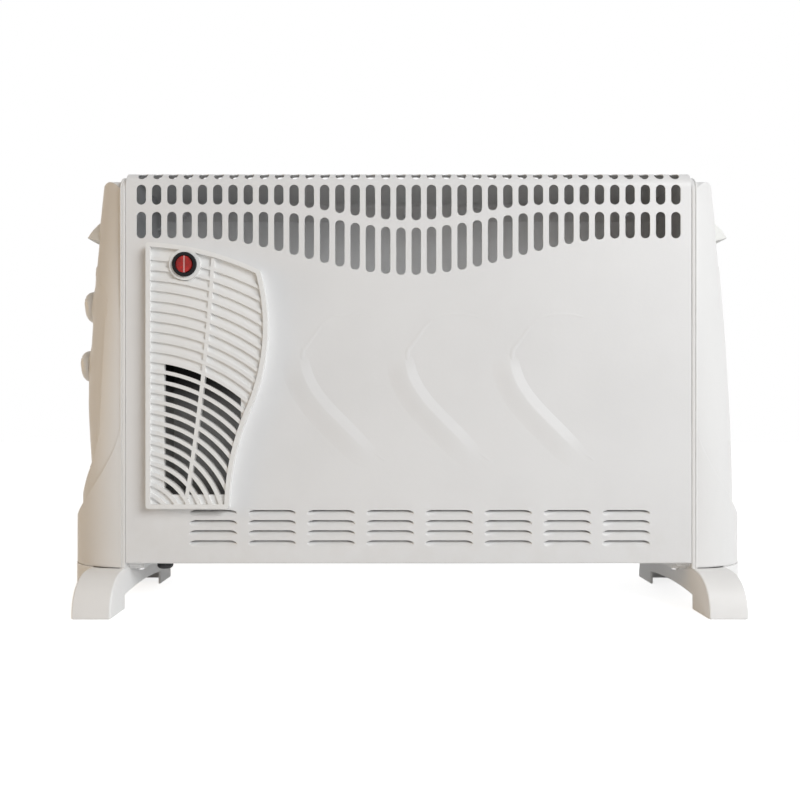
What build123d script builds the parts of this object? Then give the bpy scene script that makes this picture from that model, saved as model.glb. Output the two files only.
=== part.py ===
"""Free-standing convector heater with a small turbo fan.

Millimetres, +X to the viewer's right, +Y away from the viewer, +Z up.
The origin is on the floor, under the middle of the heater.
Pieces of the right end are drawn at +X; those of the left end are drawn there too and mirrored.
"""
import math
import os

from build123d import *

# Steel case
case_width = 537.0
case_depth = 116.0
case_bottom = 43.0
case_height = 373.5
sheet = 0.8
front_bend_radius = 15.0
rear_bend_radius = 6.0
lower_lip = 10.0
rear_flange = 20.0
back_top_gap = 1.5

# Outlet slots in the front and top
slot_count = 36
slot_pitch = 14.5
slot_width = 9.0
upper_row_drop = 13.7
upper_row_height = 19.0
upper_row_dip = 15.0
upper_dip_reach = 135.0
row_bridge = 6.8
lower_row_height = 25.2
lower_row_dip = 34.7
lower_dip_reach = 205.0
top_row_drop = 8.0
top_row_reach = 12.0
rear_row_bridge = 8.0
rear_row_length = 24.0

# Intake louvres, pressed inwards
louvre_columns = 8
louvre_rows = 4
louvre_length = 48.0
louvre_height = 6.5
louvre_pitch_x = 56.0
louvre_pitch_z = 9.6
louvre_centre_x = 10.4
louvre_rise = 50.0
louvre_depth = 4.2
louvre_end_taper = 3.5
louvre_corner = 4.5
louvre_wall = 0.8

# Pressed ornaments on the front, their run given from the lowest point of each
ornament_count = 3
ornament_pitch = 99.5
ornament_height = 0.35
ornament_steps = 24
ornament_bend_width = 7.0
ornament_bend_share = 0.5
ornament_tail_width = 2.5
ornament_last_x = 97.2
ornament_rise = 98.4
ornament_run = [
    (68.4, 135.8), (43.7, 138.6), (25.7, 133.9), (6.7, 111.1), (0.0, 100.7), (2.9, 90.2),
    (9.5, 71.2), (30.4, 46.5), (54.2, 20.0), (78.9, 0.0),
]

# Fan grille; its points are given from its lower left corner
grille_margin = 21.5
grille_rise = 53.0
grille_depth = 9.0
grille_frame = 4.2
grille_corner = 3.0
grille_centre_drop = 20.0
grille_centre_left = 10.0
grille_top_radius = 270.6
grille_waist = (98.0, 93.0)
grille_shoulder = (114.3, 176.0)
grille_top_corner_x = 107.0
grille_foot_width = 78.0
slat_count = 24
slat_first_radius = 256.0
slat_pitch = 9.57
slat_thickness = 3.5
slat_depth = 2.0
backing = 5.5
closed_radius = 158.5
window_margin_left = 16.6
window_margin_bottom = 13.0
window_width = 72.2
window_ease = 1.0
rib_top = (63.0, 236.0)
rib_middle = (54.0, 129.0)
rib_bottom = (38.0, 10.0)

# Fan switch in the grille
switch_offset_x = 36.6
switch_offset_z = 229.3
switch_boss = 29.4
switch_bezel = 23.0
switch_bezel_thickness = 2.2
switch_bezel_round = 0.7
switch_barrel = 19.6
switch_hole_clearance = 0.2
switch_length = 24.0
rocker_diameter = 15.6
rocker_well = 16.8
rocker_thickness = 6.0
rocker_half_angle = 9.0
rocker_pivot_depth = 1.0
rocker_pin = 2.0
pin_clearance = 0.05
pin_end_play = 0.3
switch_tab_width = 6.3
switch_tab_thickness = 0.8
switch_tab_length = 8.0

# End caps
cap_flange = 5.5
cap_drop = 4.5
cap_top_gap = 3.5
cap_corner_radius = 16.0
cap_reach = 59.0
boot_side_height = 136.5
boot_centre_height = 43.5
boot_edge_power = 3.0
boot_edge_spans = 8
boot_edge_trim = 0.8
bulge_top_gap = 5.5
bulge_even_height = 61.5
bulge_low_reach = 53.2
bulge_high_reach = 33.4
bulge_power = 1.6
bulge_low_half_depth = 57.4
bulge_high_half_depth = 53.0
bulge_narrow_height = 236.5
bulge_high_gap = 14.0
bulge_shoulder = 4.5
bulge_spans = 6
cap_wall = 2.5
cap_ring = 16.0
cap_screw_y = 46.0
cap_screw_margin_low = 31.5
cap_screw_margin_high = 28.0

# Carrying handles
handle_length = 60.0
handle_reach = 49.5
handle_drop = 31.5
handle_thickness = 24.0
handle_tip_rise = 3.0
handle_root = 2.0
lip_edge = 2.5
lip_half_depth = 45.0
lip_crown_reach = 40.0
lip_crown_drop = 5.0
pocket_height = 30.0
pocket_depth = 18.0
pocket_wall = 2.0

# Control panel in the left cap
tongue_half_width = 51.0
tongue_rise = 58.5
tongue_height = 231.0
tongue_lower_round = 82.0
tongue_upper_round = 38.0
tongue_lip = 1.0
tongue_plate = 2.5
tongue_rim = 1.5
panel_crease_rise = 99.0
panel_crease_blunt = 12.0
panel_crease_reach = 47.4
panel_upper_slope = 0.065
panel_lower_slope = 0.062

# Rotary controls
selector_drop = 34.0
control_pitch = 60.0
knob_diameter = 32.0
knob_height = 9.8
knob_clearance = 0.6
knob_grip_width = 10.0
knob_grip_depth = 1.0
knob_hollow = 22.0
knob_hollow_depth = 4.2
shaft_diameter = 6.0
shaft_clearance = 0.05
bush_diameter = 9.0
bush_stand = 3.6
nut_width = 13.0
nut_thickness = 2.4
control_shoulder = 15.0
control_setback = 5.0
control_body_width = 34.0
control_body_height = 28.0
control_body_depth = 16.0
control_body_round = 2.5
shaft_seat = 12.0
knob_crown = 2.0
knob_round = 6.5

# Feet
foot_half_length = 100.0
foot_leg_width = 35.5
foot_bend = [(80.0, 35.6), (93.4, 23.6)]
foot_toe_draft = 0.16
foot_pad_length = 41.0
foot_pad_wall = 13.5
foot_arch_top = 16.5
foot_wall = 2.5
foot_hollow_half_length = 94.0
foot_hollow_height = 12.5
saddle_bottom = 14.0
tab_reach = 14.0
tab_half_length = 46.0
tab_thickness = 7.8
tab_notch_clearance = 1.5

# Inside the case
side_plate = 1.5
base_flange = 18.0
wire_hole = 30.0
partition_height = 257.0
intake_slot_length = 40.0
intake_slot_width = 6.0
intake_columns = 7
intake_rows = 4
intake_pitch_x = 50.0
intake_pitch_y = 20.0
duct_sheet = 0.8
duct_margin = 4.0
duct_height = 130.5
duct_bend = 22.0
scroll_radius = 38.0
scroll_wall = 2.0
scroll_rise = 38.5
scroll_inlet = 46.0
impeller_diameter = 58.0
impeller_width = 24.0
impeller_disc = 1.6
impeller_ring = 3.0
impeller_blades = 24
blade_thickness = 1.0
blade_depth = 7.0
hub_diameter = 12.0
rotor_shaft = 4.0
rotor_clearance = 0.05
running_gap = 2.5
motor_diameter = 42.0
motor_length = 26.0
motor_boss = 9.0
motor_boss_length = 3.0
bracket_thickness = 1.5
bracket_width = 18.0
element_rise = 85.0
element_spacing = 44.0
element_end_gap = 18.0
element_core = 9.0
element_fin_span = 34.0
element_fin = 1.6
element_fin_count = 4
pin_diameter = 5.0
pin_overhang = 12.0
insulator_diameter = 12.0
insulator_length = 9.0
insulator_flange = 16.0
insulator_flange_length = 2.0
cutout_diameter = 14.0
cutout_length = 7.0
cutout_flange = 28.0
cutout_rise = 68.0
terminal_length = 40.0
terminal_width = 18.0
terminal_height = 16.0
terminal_ways = 3
terminal_well = 6.8
terminal_well_depth = 8.0
terminal_distance = 88.5
terminal_y = 30.0
gland_distance = 21.5
gland_diameter = 16.0
gland_drop = 15.5
gland_round = 3.5
gland_thread = 12.0
gland_thread_spare = 3.4
gland_bore = 7.0
gland_nut_width = 18.0
gland_nut_thickness = 4.0

# Fasteners
screw_head = 7.0
screw_head_height = 2.4
screw_core = 3.4
screw_length = 9.0
grille_screw_length = 5.5
recess_width = 1.0
recess_length = 4.0
recess_depth = 1.2
back_screw_rise = 11.0
back_screw_drop = 14.5
back_screw_margin = 28.5
foot_screw_y = 34.0

# Back panel
back_slot_count = 16
back_slot_pitch = 30.0
back_slot_length = 60.0
back_slot_width = 5.0
back_slot_rises = (77.0, 245.0)

# Worked out from the sizes above
half_width = case_width / 2
half_depth = case_depth / 2
case_top = case_bottom + case_height
front_y = -half_depth
inner_front_y = front_y + sheet
inner_back_y = half_depth - sheet
base_z = case_bottom + sheet
front_plane = Plane.XZ.offset(half_depth)
inner_front_plane = Plane.XZ.offset(half_depth - sheet)
back_plane = Plane.XZ.offset(-half_depth)
upper_row_top = case_top - upper_row_drop
louvre_top = case_bottom + louvre_rise
grille_left = grille_margin - half_width
grille_bottom = case_bottom + grille_rise
grille_centre = (grille_left - grille_centre_left, grille_bottom - grille_centre_drop)
switch_x = grille_left + switch_offset_x
switch_z = grille_bottom + switch_offset_z
flange_outer_x = half_width + cap_flange
cap_bottom = case_bottom - cap_drop
cap_top = case_top - cap_top_gap
bulge_top = case_top - bulge_top_gap
bulge_high_z = bulge_top - bulge_high_gap
bulge_low_z = cap_bottom + bulge_even_height
bulge_narrow_z = cap_bottom + bulge_narrow_height
boot_side_top = cap_bottom + boot_side_height
boot_centre_top = cap_bottom + boot_centre_height
handle_top_z = case_top - handle_drop
handle_under_z = handle_top_z - handle_thickness
tongue_bottom = cap_bottom + tongue_rise
tongue_top = tongue_bottom + tongue_height
selector_z = tongue_top - selector_drop
thermostat_z = selector_z - control_pitch
panel_crease_z = tongue_bottom + panel_crease_rise
partition_x = louvre_centre_x - louvre_pitch_x * louvre_columns / 4 - sheet / 2
partition_face = partition_x + sheet
scroll_centre_x = grille_left + window_margin_left + window_width / 2
duct_low = grille_bottom + window_margin_bottom - duct_margin
duct_top = duct_low + duct_height
scroll_centre_z = duct_top + scroll_rise
gland_x = gland_distance - half_width
back_screw_rows = (case_bottom + back_screw_rise, case_top - back_screw_drop)
back_screw_x = (back_screw_margin - half_width, 0, half_width - back_screw_margin)


def save(node, name):
    """Label one finished piece and write it."""
    node.part.label = name
    export_step(node.part, f"parts/{name}.step")


def cosine_dip(x, drop, reach):
    """Depth of a smooth dip at x: the whole drop in the middle, nothing past its reach."""
    if abs(x) >= reach:
        return 0.0
    return drop * (1 + math.cos(math.pi * x / reach)) / 2


def from_grille(offset):
    """Point on the front, given from the grille's lower left corner."""
    return (grille_left + offset[0], grille_bottom + offset[1])


def bulge_reach(z):
    """How far the cap's face stands out from its flange at height z."""
    share = max(z - bulge_low_z, 0.0) / (bulge_high_z - bulge_low_z)
    return bulge_low_reach - (bulge_low_reach - bulge_high_reach) * share**bulge_power


def bulge_half_depth(z):
    """Half the depth of the cap's face at height z."""
    share = max(z - bulge_narrow_z, 0.0) / (bulge_high_z - bulge_narrow_z)
    return bulge_low_half_depth - (bulge_low_half_depth - bulge_high_half_depth) * share


def half_ellipse(reach, depth, root_x=flange_outer_x):
    """Closed half ellipse that swells to +X from an upright plane, by default the flange's outer one."""
    with BuildSketch() as outline:
        with BuildLine():
            arc = EllipticalCenterArc(
                (root_x, 0), reach, depth, start_angle=-90, arc_size=180)
            Line(arc @ 1, arc @ 0)
        make_face()
    return outline.sketch


def bowed(reach, depth):
    """Closed segment of a circle on the flange's outer plane, swelling to +X."""
    with BuildSketch() as outline:
        with BuildLine():
            arc = ThreePointArc(
                (flange_outer_x, -depth), (flange_outer_x + reach, 0), (flange_outer_x, depth))
            Line(arc @ 1, arc @ 0)
        make_face()
    return outline.sketch


def bulge(inset):
    """The cap's swelling face as a solid, drawn in by an inset."""
    rise = (bulge_top - cap_bottom) / bulge_spans
    heights = [cap_bottom + rise * step for step in range(bulge_spans + 1)]
    with BuildPart() as body:
        for z in heights:
            with BuildSketch(Plane.XY.offset(z)):
                add(bowed(bulge_reach(z) - inset, bulge_half_depth(z) - inset))
        loft()
    return body.part


def cap_side_outline(inset, top):
    """Outline of a cap seen from its end, with rounded upper corners."""
    edge = half_depth - inset
    low = cap_bottom + inset
    with BuildSketch() as outline:
        with BuildLine():
            FilletPolyline(
                (-edge, low), (-edge, top), (edge, top), (edge, low), radius=cap_corner_radius - inset)
            Line((edge, low), (-edge, low))
        make_face()
    return outline.sketch


def boot_edge_height(y):
    """Height of the boot's upper edge at depth y."""
    share = 1 - min(abs(y) / half_depth, 1.0) ** 2
    return boot_side_top - (boot_side_top - boot_centre_top) * share ** (1 / boot_edge_power)


def tongue_outline(inset):
    """Outline of the control panel seen from the end of the heater."""
    width = tongue_half_width - inset
    low = tongue_bottom + tongue_lower_round
    high = tongue_top - tongue_upper_round
    with BuildSketch() as outline:
        with BuildLine():
            lower = EllipticalCenterArc(
                (0, low), width, tongue_lower_round - inset, start_angle=180, arc_size=180)
            upper = EllipticalCenterArc(
                (0, high), width, tongue_upper_round - inset, start_angle=0, arc_size=180)
            Line(lower @ 1, upper @ 0)
            Line(upper @ 1, lower @ 0)
        make_face()
    return outline.sketch


def panel_reach(z):
    """How far the control panel's face stands out from the flange: it slopes away from a crease."""
    if z > panel_crease_z:
        return panel_crease_reach - panel_upper_slope * (z - panel_crease_z)
    return panel_crease_reach - panel_lower_slope * (panel_crease_z - z)


def panel_swell(inset):
    """The control panel's face as a solid, drawn in by an inset."""
    heights = [
        tongue_bottom, panel_crease_z - panel_crease_blunt, panel_crease_z + panel_crease_blunt, tongue_top]
    with BuildPart() as body:
        for z in heights:
            with BuildSketch(Plane.XY.offset(z)):
                add(bowed(panel_reach(z) - inset, bulge_low_half_depth - inset))
        loft(ruled=True)
    return body.part


def control_plane(z):
    """Plane on the control panel's face at a control, looking out square to the face."""
    face_x = flange_outer_x + panel_reach(z)
    return Plane(origin=(face_x, 0, z), x_dir=(0, 1, 0), z_dir=(1, 0, panel_upper_slope))


def screw_solid(head_plane, length=screw_length):
    """One cross-recess screw: its head stands on the given plane, its core goes in behind."""
    with BuildPart() as screw:
        with BuildSketch(head_plane):
            Circle(screw_head / 2)
        extrude(amount=screw_head_height)
        with BuildSketch(head_plane):
            Circle(screw_core / 2)
        extrude(amount=-length)
        with BuildSketch(head_plane.offset(screw_head_height)):
            Rectangle(recess_width, recess_length)
            Rectangle(recess_length, recess_width)
        extrude(amount=-recess_depth, mode=Mode.SUBTRACT)
    return screw.part


os.makedirs("parts", exist_ok=True)

# Front panel: front and top in one bent sheet, with a lip below and a flange behind.
even_upper_bottom = upper_row_top - upper_row_height
even_lower_bottom = even_upper_bottom - row_bridge - lower_row_height
slot_positions = [(index - (slot_count - 1) / 2) * slot_pitch for index in range(slot_count)]

with BuildPart() as top_slot:
    start = case_top - top_row_drop
    beyond = case_top + slot_width
    with BuildSketch(Plane.XZ.offset(half_depth + sheet)):
        with Locations((0, (start + beyond) / 2)):
            SlotOverall(beyond - start, slot_width, rotation=90)
    extrude(amount=-(top_row_reach + sheet))
    with BuildSketch(Plane.XY.offset(start)):
        with Locations((0, front_y + top_row_reach - case_depth / 2)):
            SlotOverall(case_depth, slot_width, rotation=90)
    extrude(amount=beyond - start, mode=Mode.INTERSECT)

with BuildPart() as louvre_skin:
    with BuildSketch(front_plane):
        with Locations((0, -louvre_height / 2)):
            mouth = Rectangle(louvre_length, louvre_height)
        fillet(mouth.vertices().group_by(Axis.Y)[-1], louvre_corner)
    with BuildSketch(front_plane.offset(-louvre_depth)):
        with Locations((0, -louvre_wall)):
            Rectangle(louvre_length - 2 * louvre_end_taper, 2 * louvre_wall)
    loft()

with BuildPart() as louvre_hollow:
    inner_length = louvre_length - 2 * louvre_wall
    with BuildSketch(front_plane.offset(louvre_wall)):
        with Locations((0, -louvre_height / 2 + louvre_wall)):
            mouth = Rectangle(inner_length, louvre_height)
        fillet(mouth.vertices().group_by(Axis.Y)[-1], louvre_corner)
    with BuildSketch(front_plane.offset(louvre_wall - louvre_depth)):
        with Locations((0, louvre_wall)):
            Rectangle(inner_length - 2 * louvre_end_taper, 2 * louvre_wall)
    loft()


def ornament_width(share):
    """Width of the pressed ornament along its run: full at the bend, slim at the tail."""
    growth = ornament_bend_width - ornament_tail_width
    if share < ornament_bend_share:
        return ornament_tail_width + growth * (share / ornament_bend_share) ** 2
    return ornament_bend_width - growth * (share - ornament_bend_share) / (1 - ornament_bend_share)


def ornament(centre_x):
    """Low rounded ridge that follows the ornament's run, as a ruled loft through segments of circles."""
    low_z = case_bottom + ornament_rise
    points = [(centre_x + x, front_y, low_z + z) for x, z in ornament_run]
    run = Spline(*points)
    with BuildPart() as ridge:
        for step in range(ornament_steps + 1):
            share = step / ornament_steps
            half = ornament_width(share) / 2
            height = ornament_height * 2 * half / ornament_bend_width
            along = run % share
            section = Plane(origin=run @ share, x_dir=along.cross(Vector(0, 1, 0)), z_dir=along)
            with BuildSketch(section):
                with BuildLine():
                    ThreePointArc((-half, 0), (0, height), (half, 0))
                    Line((half, 0), (-half, 0))
                make_face()
        loft(ruled=True)
    return ridge.part


ornaments = [
    ornament(ornament_last_x - index * ornament_pitch) for index in range(ornament_count)
]


def window_outline(growth):
    """Outline of the fan's opening: a box under a round top, inside the grille's frame."""
    left = grille_left + window_margin_left - growth
    low = grille_bottom + window_margin_bottom - growth
    width = window_width + 2 * growth
    with BuildSketch() as outline:
        with Locations(grille_centre):
            Circle(closed_radius + growth)
        with Locations((left + width / 2, low + closed_radius / 2)):
            Rectangle(width, closed_radius, mode=Mode.INTERSECT)
    return outline.sketch


def on_grille_top(x):
    """Point on the grille's round top edge, at a distance from its left side."""
    rise = math.sqrt(grille_top_radius**2 - (x + grille_centre_left)**2)
    return (grille_left + x, grille_centre[1] + rise)


def grille_outline():
    """Outline of the fan grille seen from the front."""
    corner = (grille_left, grille_bottom)
    top_right = on_grille_top(grille_top_corner_x)
    foot = from_grille((grille_foot_width, 0))
    with BuildSketch() as outline:
        with BuildLine():
            ThreePointArc(on_grille_top(0), on_grille_top(grille_top_corner_x / 2), top_right)
            side = ThreePointArc(
                top_right, from_grille(grille_shoulder), from_grille(grille_waist))
            TangentArc(from_grille(grille_waist), foot, tangent=side % 1)
            Line(foot, corner)
            Line(corner, on_grille_top(0))
        make_face()
    return outline.sketch


with BuildSketch() as grille_face:
    add(grille_outline())
    corners = grille_face.vertices()
    fillet(corners.group_by(Axis.Y)[0] + corners.sort_by(Axis.Y)[-2:], grille_corner)

with BuildSketch() as grille_opening:
    add(grille_outline())
    offset(amount=-grille_frame, kind=Kind.ARC, mode=Mode.REPLACE)

with BuildSketch() as window:
    add(window_outline(0.0))
    add(grille_opening.sketch, mode=Mode.INTERSECT)

with BuildSketch() as panel_window:
    add(window_outline(window_ease))
    add(grille_opening.sketch, mode=Mode.INTERSECT)

with BuildSketch() as slats:
    with Locations(grille_centre):
        for index in range(slat_count):
            radius = slat_first_radius - index * slat_pitch
            Circle(radius + slat_thickness / 2)
            Circle(radius - slat_thickness / 2, mode=Mode.SUBTRACT)
    with BuildLine():
        ThreePointArc(from_grille(rib_top), from_grille(rib_middle), from_grille(rib_bottom))
    trace(line_width=slat_thickness)
    add(grille_opening.sketch, mode=Mode.INTERSECT)

switch_point = (switch_x, switch_z)
screw_inset = grille_frame + screw_head / 2
grille_screw_places = [
    from_grille((screw_inset, screw_inset)),
    from_grille((screw_inset, switch_offset_z)),
    from_grille((rib_top[0] + screw_inset, rib_top[1] - 2 * screw_inset)),
]

with BuildPart() as fan_grille:
    with BuildSketch(front_plane):
        add(grille_face.sketch)
        add(grille_opening.sketch, mode=Mode.SUBTRACT)
    extrude(amount=grille_depth)
    with BuildSketch(front_plane):
        add(grille_opening.sketch)
        add(window.sketch, mode=Mode.SUBTRACT)
    extrude(amount=backing)
    with BuildSketch(front_plane):
        add(slats.sketch)
    extrude(amount=backing + slat_depth)
    with BuildSketch(front_plane):
        with Locations(switch_point):
            Circle(switch_boss / 2)
    extrude(amount=grille_depth)
    with BuildSketch(front_plane):
        with Locations(switch_point):
            Circle(switch_barrel / 2 + switch_hole_clearance)
    extrude(amount=grille_depth, mode=Mode.SUBTRACT)
    with BuildSketch(front_plane):
        with Locations(*grille_screw_places):
            Circle(screw_core / 2)
    extrude(amount=grille_screw_length - sheet, mode=Mode.SUBTRACT)
save(fan_grille, "fan_grille")

with BuildPart() as grille_screws:
    grille_screw = screw_solid(
        Plane(origin=(0, inner_front_y, 0), x_dir=(1, 0, 0), z_dir=(0, 1, 0)), grille_screw_length)
    with Locations(*[(x, 0, z) for x, z in grille_screw_places]):
        add(grille_screw)
save(grille_screws, "grille_screws")

with BuildPart() as front_panel:
    outer_points = [
        (front_y + lower_lip, case_bottom), (front_y, case_bottom), (front_y, case_top),
        (inner_back_y, case_top), (inner_back_y, case_top - rear_flange),
    ]
    inner_points = [
        (front_y + lower_lip, case_bottom + sheet), (inner_front_y, case_bottom + sheet),
        (inner_front_y, case_top - sheet), (inner_back_y - sheet, case_top - sheet),
        (inner_back_y - sheet, case_top - rear_flange),
    ]
    outer_radii = [2 * sheet, front_bend_radius, rear_bend_radius]
    with BuildSketch(Plane.YZ.offset(-half_width)):
        with BuildLine():
            outer = FilletPolyline(*outer_points, radius=outer_radii)
            inner = FilletPolyline(*inner_points, radius=[radius - sheet for radius in outer_radii])
            Line(outer @ 0, inner @ 0)
            Line(outer @ 1, inner @ 1)
        make_face()
    extrude(amount=case_width)
    louvre_centres = [
        (louvre_centre_x + (column - (louvre_columns - 1) / 2) * louvre_pitch_x,
         0, louvre_top - row * louvre_pitch_z)
        for column in range(louvre_columns) for row in range(louvre_rows)
    ]
    with Locations(*louvre_centres):
        add(louvre_skin.part)
    with Locations(*louvre_centres):
        add(louvre_hollow.part, mode=Mode.SUBTRACT)
    with BuildSketch(front_plane.offset(sheet)):
        for x in slot_positions:
            upper_bottom = even_upper_bottom - cosine_dip(x, upper_row_dip, upper_dip_reach)
            lower_top = upper_bottom - row_bridge
            lower_end = even_lower_bottom - cosine_dip(x, lower_row_dip, lower_dip_reach)
            with Locations((x, (upper_row_top + upper_bottom) / 2)):
                SlotOverall(upper_row_top - upper_bottom, slot_width, rotation=90)
            with Locations((x, (lower_top + lower_end) / 2)):
                SlotOverall(lower_top - lower_end, slot_width, rotation=90)
        add(panel_window.sketch)
        with Locations(switch_point):
            Circle(switch_barrel / 2 + 2 * switch_hole_clearance)
        with Locations(*grille_screw_places):
            Circle(screw_core / 2)
    extrude(amount=-3 * sheet, mode=Mode.SUBTRACT)
    with Locations(*[(x, 0, 0) for x in slot_positions]):
        add(top_slot.part, mode=Mode.SUBTRACT)
    rear_row_y = front_y + top_row_reach + rear_row_bridge + rear_row_length / 2
    with BuildSketch(Plane.XY.offset(case_top)):
        with Locations(*[(x, rear_row_y) for x in slot_positions]):
            SlotOverall(rear_row_length, slot_width, rotation=90)
    extrude(amount=-2 * sheet, mode=Mode.SUBTRACT)
    with BuildSketch(back_plane):
        with Locations(*[(x, back_screw_rows[1]) for x in back_screw_x]):
            Circle(screw_core / 2)
    extrude(amount=screw_length, mode=Mode.SUBTRACT)
    add(ornaments)
save(front_panel, "front_panel")

# Fan switch: a round rocker in a black bezel, tipping from side to side about an upright pin.
pivot_y = front_y - grille_depth + rocker_pivot_depth
pin_length = (rocker_well + switch_barrel) / 2

with BuildPart() as fan_switch_housing:
    bezel_plane = front_plane.offset(grille_depth)
    with BuildSketch(bezel_plane):
        with Locations(switch_point):
            Circle(switch_bezel / 2)
    extrude(amount=switch_bezel_thickness)
    fillet(fan_switch_housing.faces().sort_by(Axis.Y)[0].edges(), switch_bezel_round)
    with BuildSketch(bezel_plane):
        with Locations(switch_point):
            Circle(switch_barrel / 2)
    extrude(amount=-switch_length)
    with BuildSketch(bezel_plane.offset(switch_bezel_thickness)):
        with Locations(switch_point):
            Circle(rocker_well / 2)
    extrude(amount=-(switch_bezel_thickness + rocker_thickness + rocker_pin), mode=Mode.SUBTRACT)
    with BuildSketch(Plane.XY.offset(switch_z - pin_length / 2)):
        with Locations((switch_x, pivot_y)):
            Circle(rocker_pin / 2 + pin_clearance)
    extrude(amount=pin_length, mode=Mode.SUBTRACT)
    with BuildSketch(bezel_plane.offset(-switch_length)):
        with Locations((switch_x - switch_barrel / 4, switch_z), (switch_x + switch_barrel / 4, switch_z)):
            Rectangle(switch_tab_thickness, switch_tab_width)
    extrude(amount=-switch_tab_length)
save(fan_switch_housing, "fan_switch_housing")

with BuildPart() as fan_switch_rocker:
    turn = math.radians(rocker_half_angle)
    rocker_plane = Plane(
        origin=(switch_x, pivot_y, switch_z), x_dir=(math.cos(turn), -math.sin(turn), 0),
        z_dir=(-math.sin(turn), -math.cos(turn), 0))
    with BuildSketch(rocker_plane.offset(-rocker_thickness)):
        Circle(rocker_diameter / 2)
    extrude(amount=2 * rocker_thickness)
    crest = rocker_thickness / 2
    half = rocker_diameter / 2
    fall = half * math.tan(turn)
    with BuildSketch(Plane(origin=rocker_plane.origin, x_dir=rocker_plane.x_dir, z_dir=(0, 0, 1))):
        with BuildLine():
            Polyline(
                (-half, crest - fall), (0, crest), (half, crest - fall),
                (half, crest - rocker_thickness), (-half, crest - rocker_thickness), close=True)
        make_face()
    extrude(amount=half, both=True, mode=Mode.INTERSECT)
    with BuildSketch(Plane(origin=(switch_x, pivot_y, switch_z - pin_length / 2 + pin_end_play))):
        Circle(rocker_pin / 2)
    extrude(amount=pin_length - 2 * pin_end_play)
save(fan_switch_rocker, "fan_switch_rocker")


# End caps: a hollow moulding with a flange against the case, a swelling face and a boot below.
def cap_body(inset):
    """The cap's swelling face, drawn in by an inset, with its upper corners rounded."""
    top = bulge_top - inset
    crown_x = flange_outer_x + bulge_reach(bulge_top) - inset
    lean = bulge_reach(bulge_top - 1.0) - bulge_reach(bulge_top)
    foot_x = crown_x + lean * (bulge_top - cap_bottom)
    with BuildPart() as body:
        add(bulge(inset))
        with BuildSketch(Plane.YZ.offset(flange_outer_x)):
            add(cap_side_outline(inset, top))
        extrude(amount=2 * cap_reach, mode=Mode.INTERSECT)
        with BuildSketch(Plane.XZ) as crown:
            with BuildLine():
                Polyline(
                    (half_width, cap_bottom), (foot_x, cap_bottom), (crown_x, top),
                    (half_width, top), close=True)
            make_face()
            fillet(crown.vertices().group_by(Axis.Y)[-1].sort_by(Axis.X)[-1], bulge_shoulder)
        extrude(amount=case_depth, both=True, mode=Mode.INTERSECT)
    return body.part


face_solid = cap_body(0.0)
cavity_solid = cap_body(cap_wall)

with BuildPart() as boot:
    with BuildSketch(Plane.XY.offset(cap_bottom)):
        add(half_ellipse(cap_flange + cap_reach, half_depth, half_width))
    extrude(amount=boot_side_top - cap_bottom)
    with BuildSketch(Plane.YZ.offset(flange_outer_x)):
        edge_half = half_depth - boot_edge_trim
        beyond_y = half_depth + boot_edge_trim
        edge_y = [
            -edge_half * math.cos(math.pi * step / boot_edge_spans) for step in range(boot_edge_spans + 1)]
        with BuildLine():
            edge = Spline(*[(y, boot_edge_height(y)) for y in edge_y])
            Polyline(
                edge @ 1, (beyond_y, boot_side_top), (beyond_y, cap_bottom),
                (-beyond_y, cap_bottom), (-beyond_y, boot_side_top), edge @ 0)
        make_face()
    extrude(amount=cap_reach, mode=Mode.INTERSECT)

pocket_floor_x = flange_outer_x + bulge_reach(handle_under_z) - pocket_depth


def pocket(growth):
    """Finger pocket under the carrying lip, or the block around it when grown by its wall."""
    with BuildPart() as hollow:
        with BuildSketch(Plane.YZ.offset(pocket_floor_x - growth)):
            with Locations((0, handle_under_z - pocket_height / 2)):
                RectangleRounded(
                    handle_length + 2 * growth, pocket_height + 2 * growth, pocket_wall + growth)
        extrude(amount=cap_reach)
    return hollow.part


with BuildPart() as pocket_block:
    add(pocket(pocket_wall))
    add(face_solid, mode=Mode.INTERSECT)

cap_screw_places = [
    (y, z) for y in (-cap_screw_y, cap_screw_y)
    for z in (cap_bottom + cap_screw_margin_low, cap_top - cap_screw_margin_high)
]

with BuildPart() as cap:
    add(face_solid)
    with BuildSketch(Plane.YZ.offset(half_width)):
        add(cap_side_outline(0.0, cap_top))
    extrude(amount=cap_flange)
    add(boot.part)
    add(cavity_solid, mode=Mode.SUBTRACT)
    with BuildSketch(Plane.YZ.offset(half_width)):
        add(cap_side_outline(cap_ring, cap_top - cap_ring))
    extrude(amount=cap_flange, mode=Mode.SUBTRACT)
    add(pocket_block.part)
    add(pocket(0.0), mode=Mode.SUBTRACT)
    with BuildSketch(Plane.YZ.offset(half_width)):
        with Locations(*cap_screw_places):
            Circle(screw_core / 2)
    extrude(amount=cap_flange, mode=Mode.SUBTRACT)

with BuildPart() as right_end_cap:
    add(cap.part)
save(right_end_cap, "right_end_cap")

with BuildPart() as tongue:
    with BuildSketch(Plane.YZ.offset(flange_outer_x)):
        add(tongue_outline(0.0))
    extrude(amount=cap_reach)

with BuildPart() as opened_cap:
    add(cap.part)
    add(tongue.part, mode=Mode.SUBTRACT)

with BuildPart() as left_end_cap:
    mirror(opened_cap.part, about=Plane.YZ)
save(left_end_cap, "left_end_cap")

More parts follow.
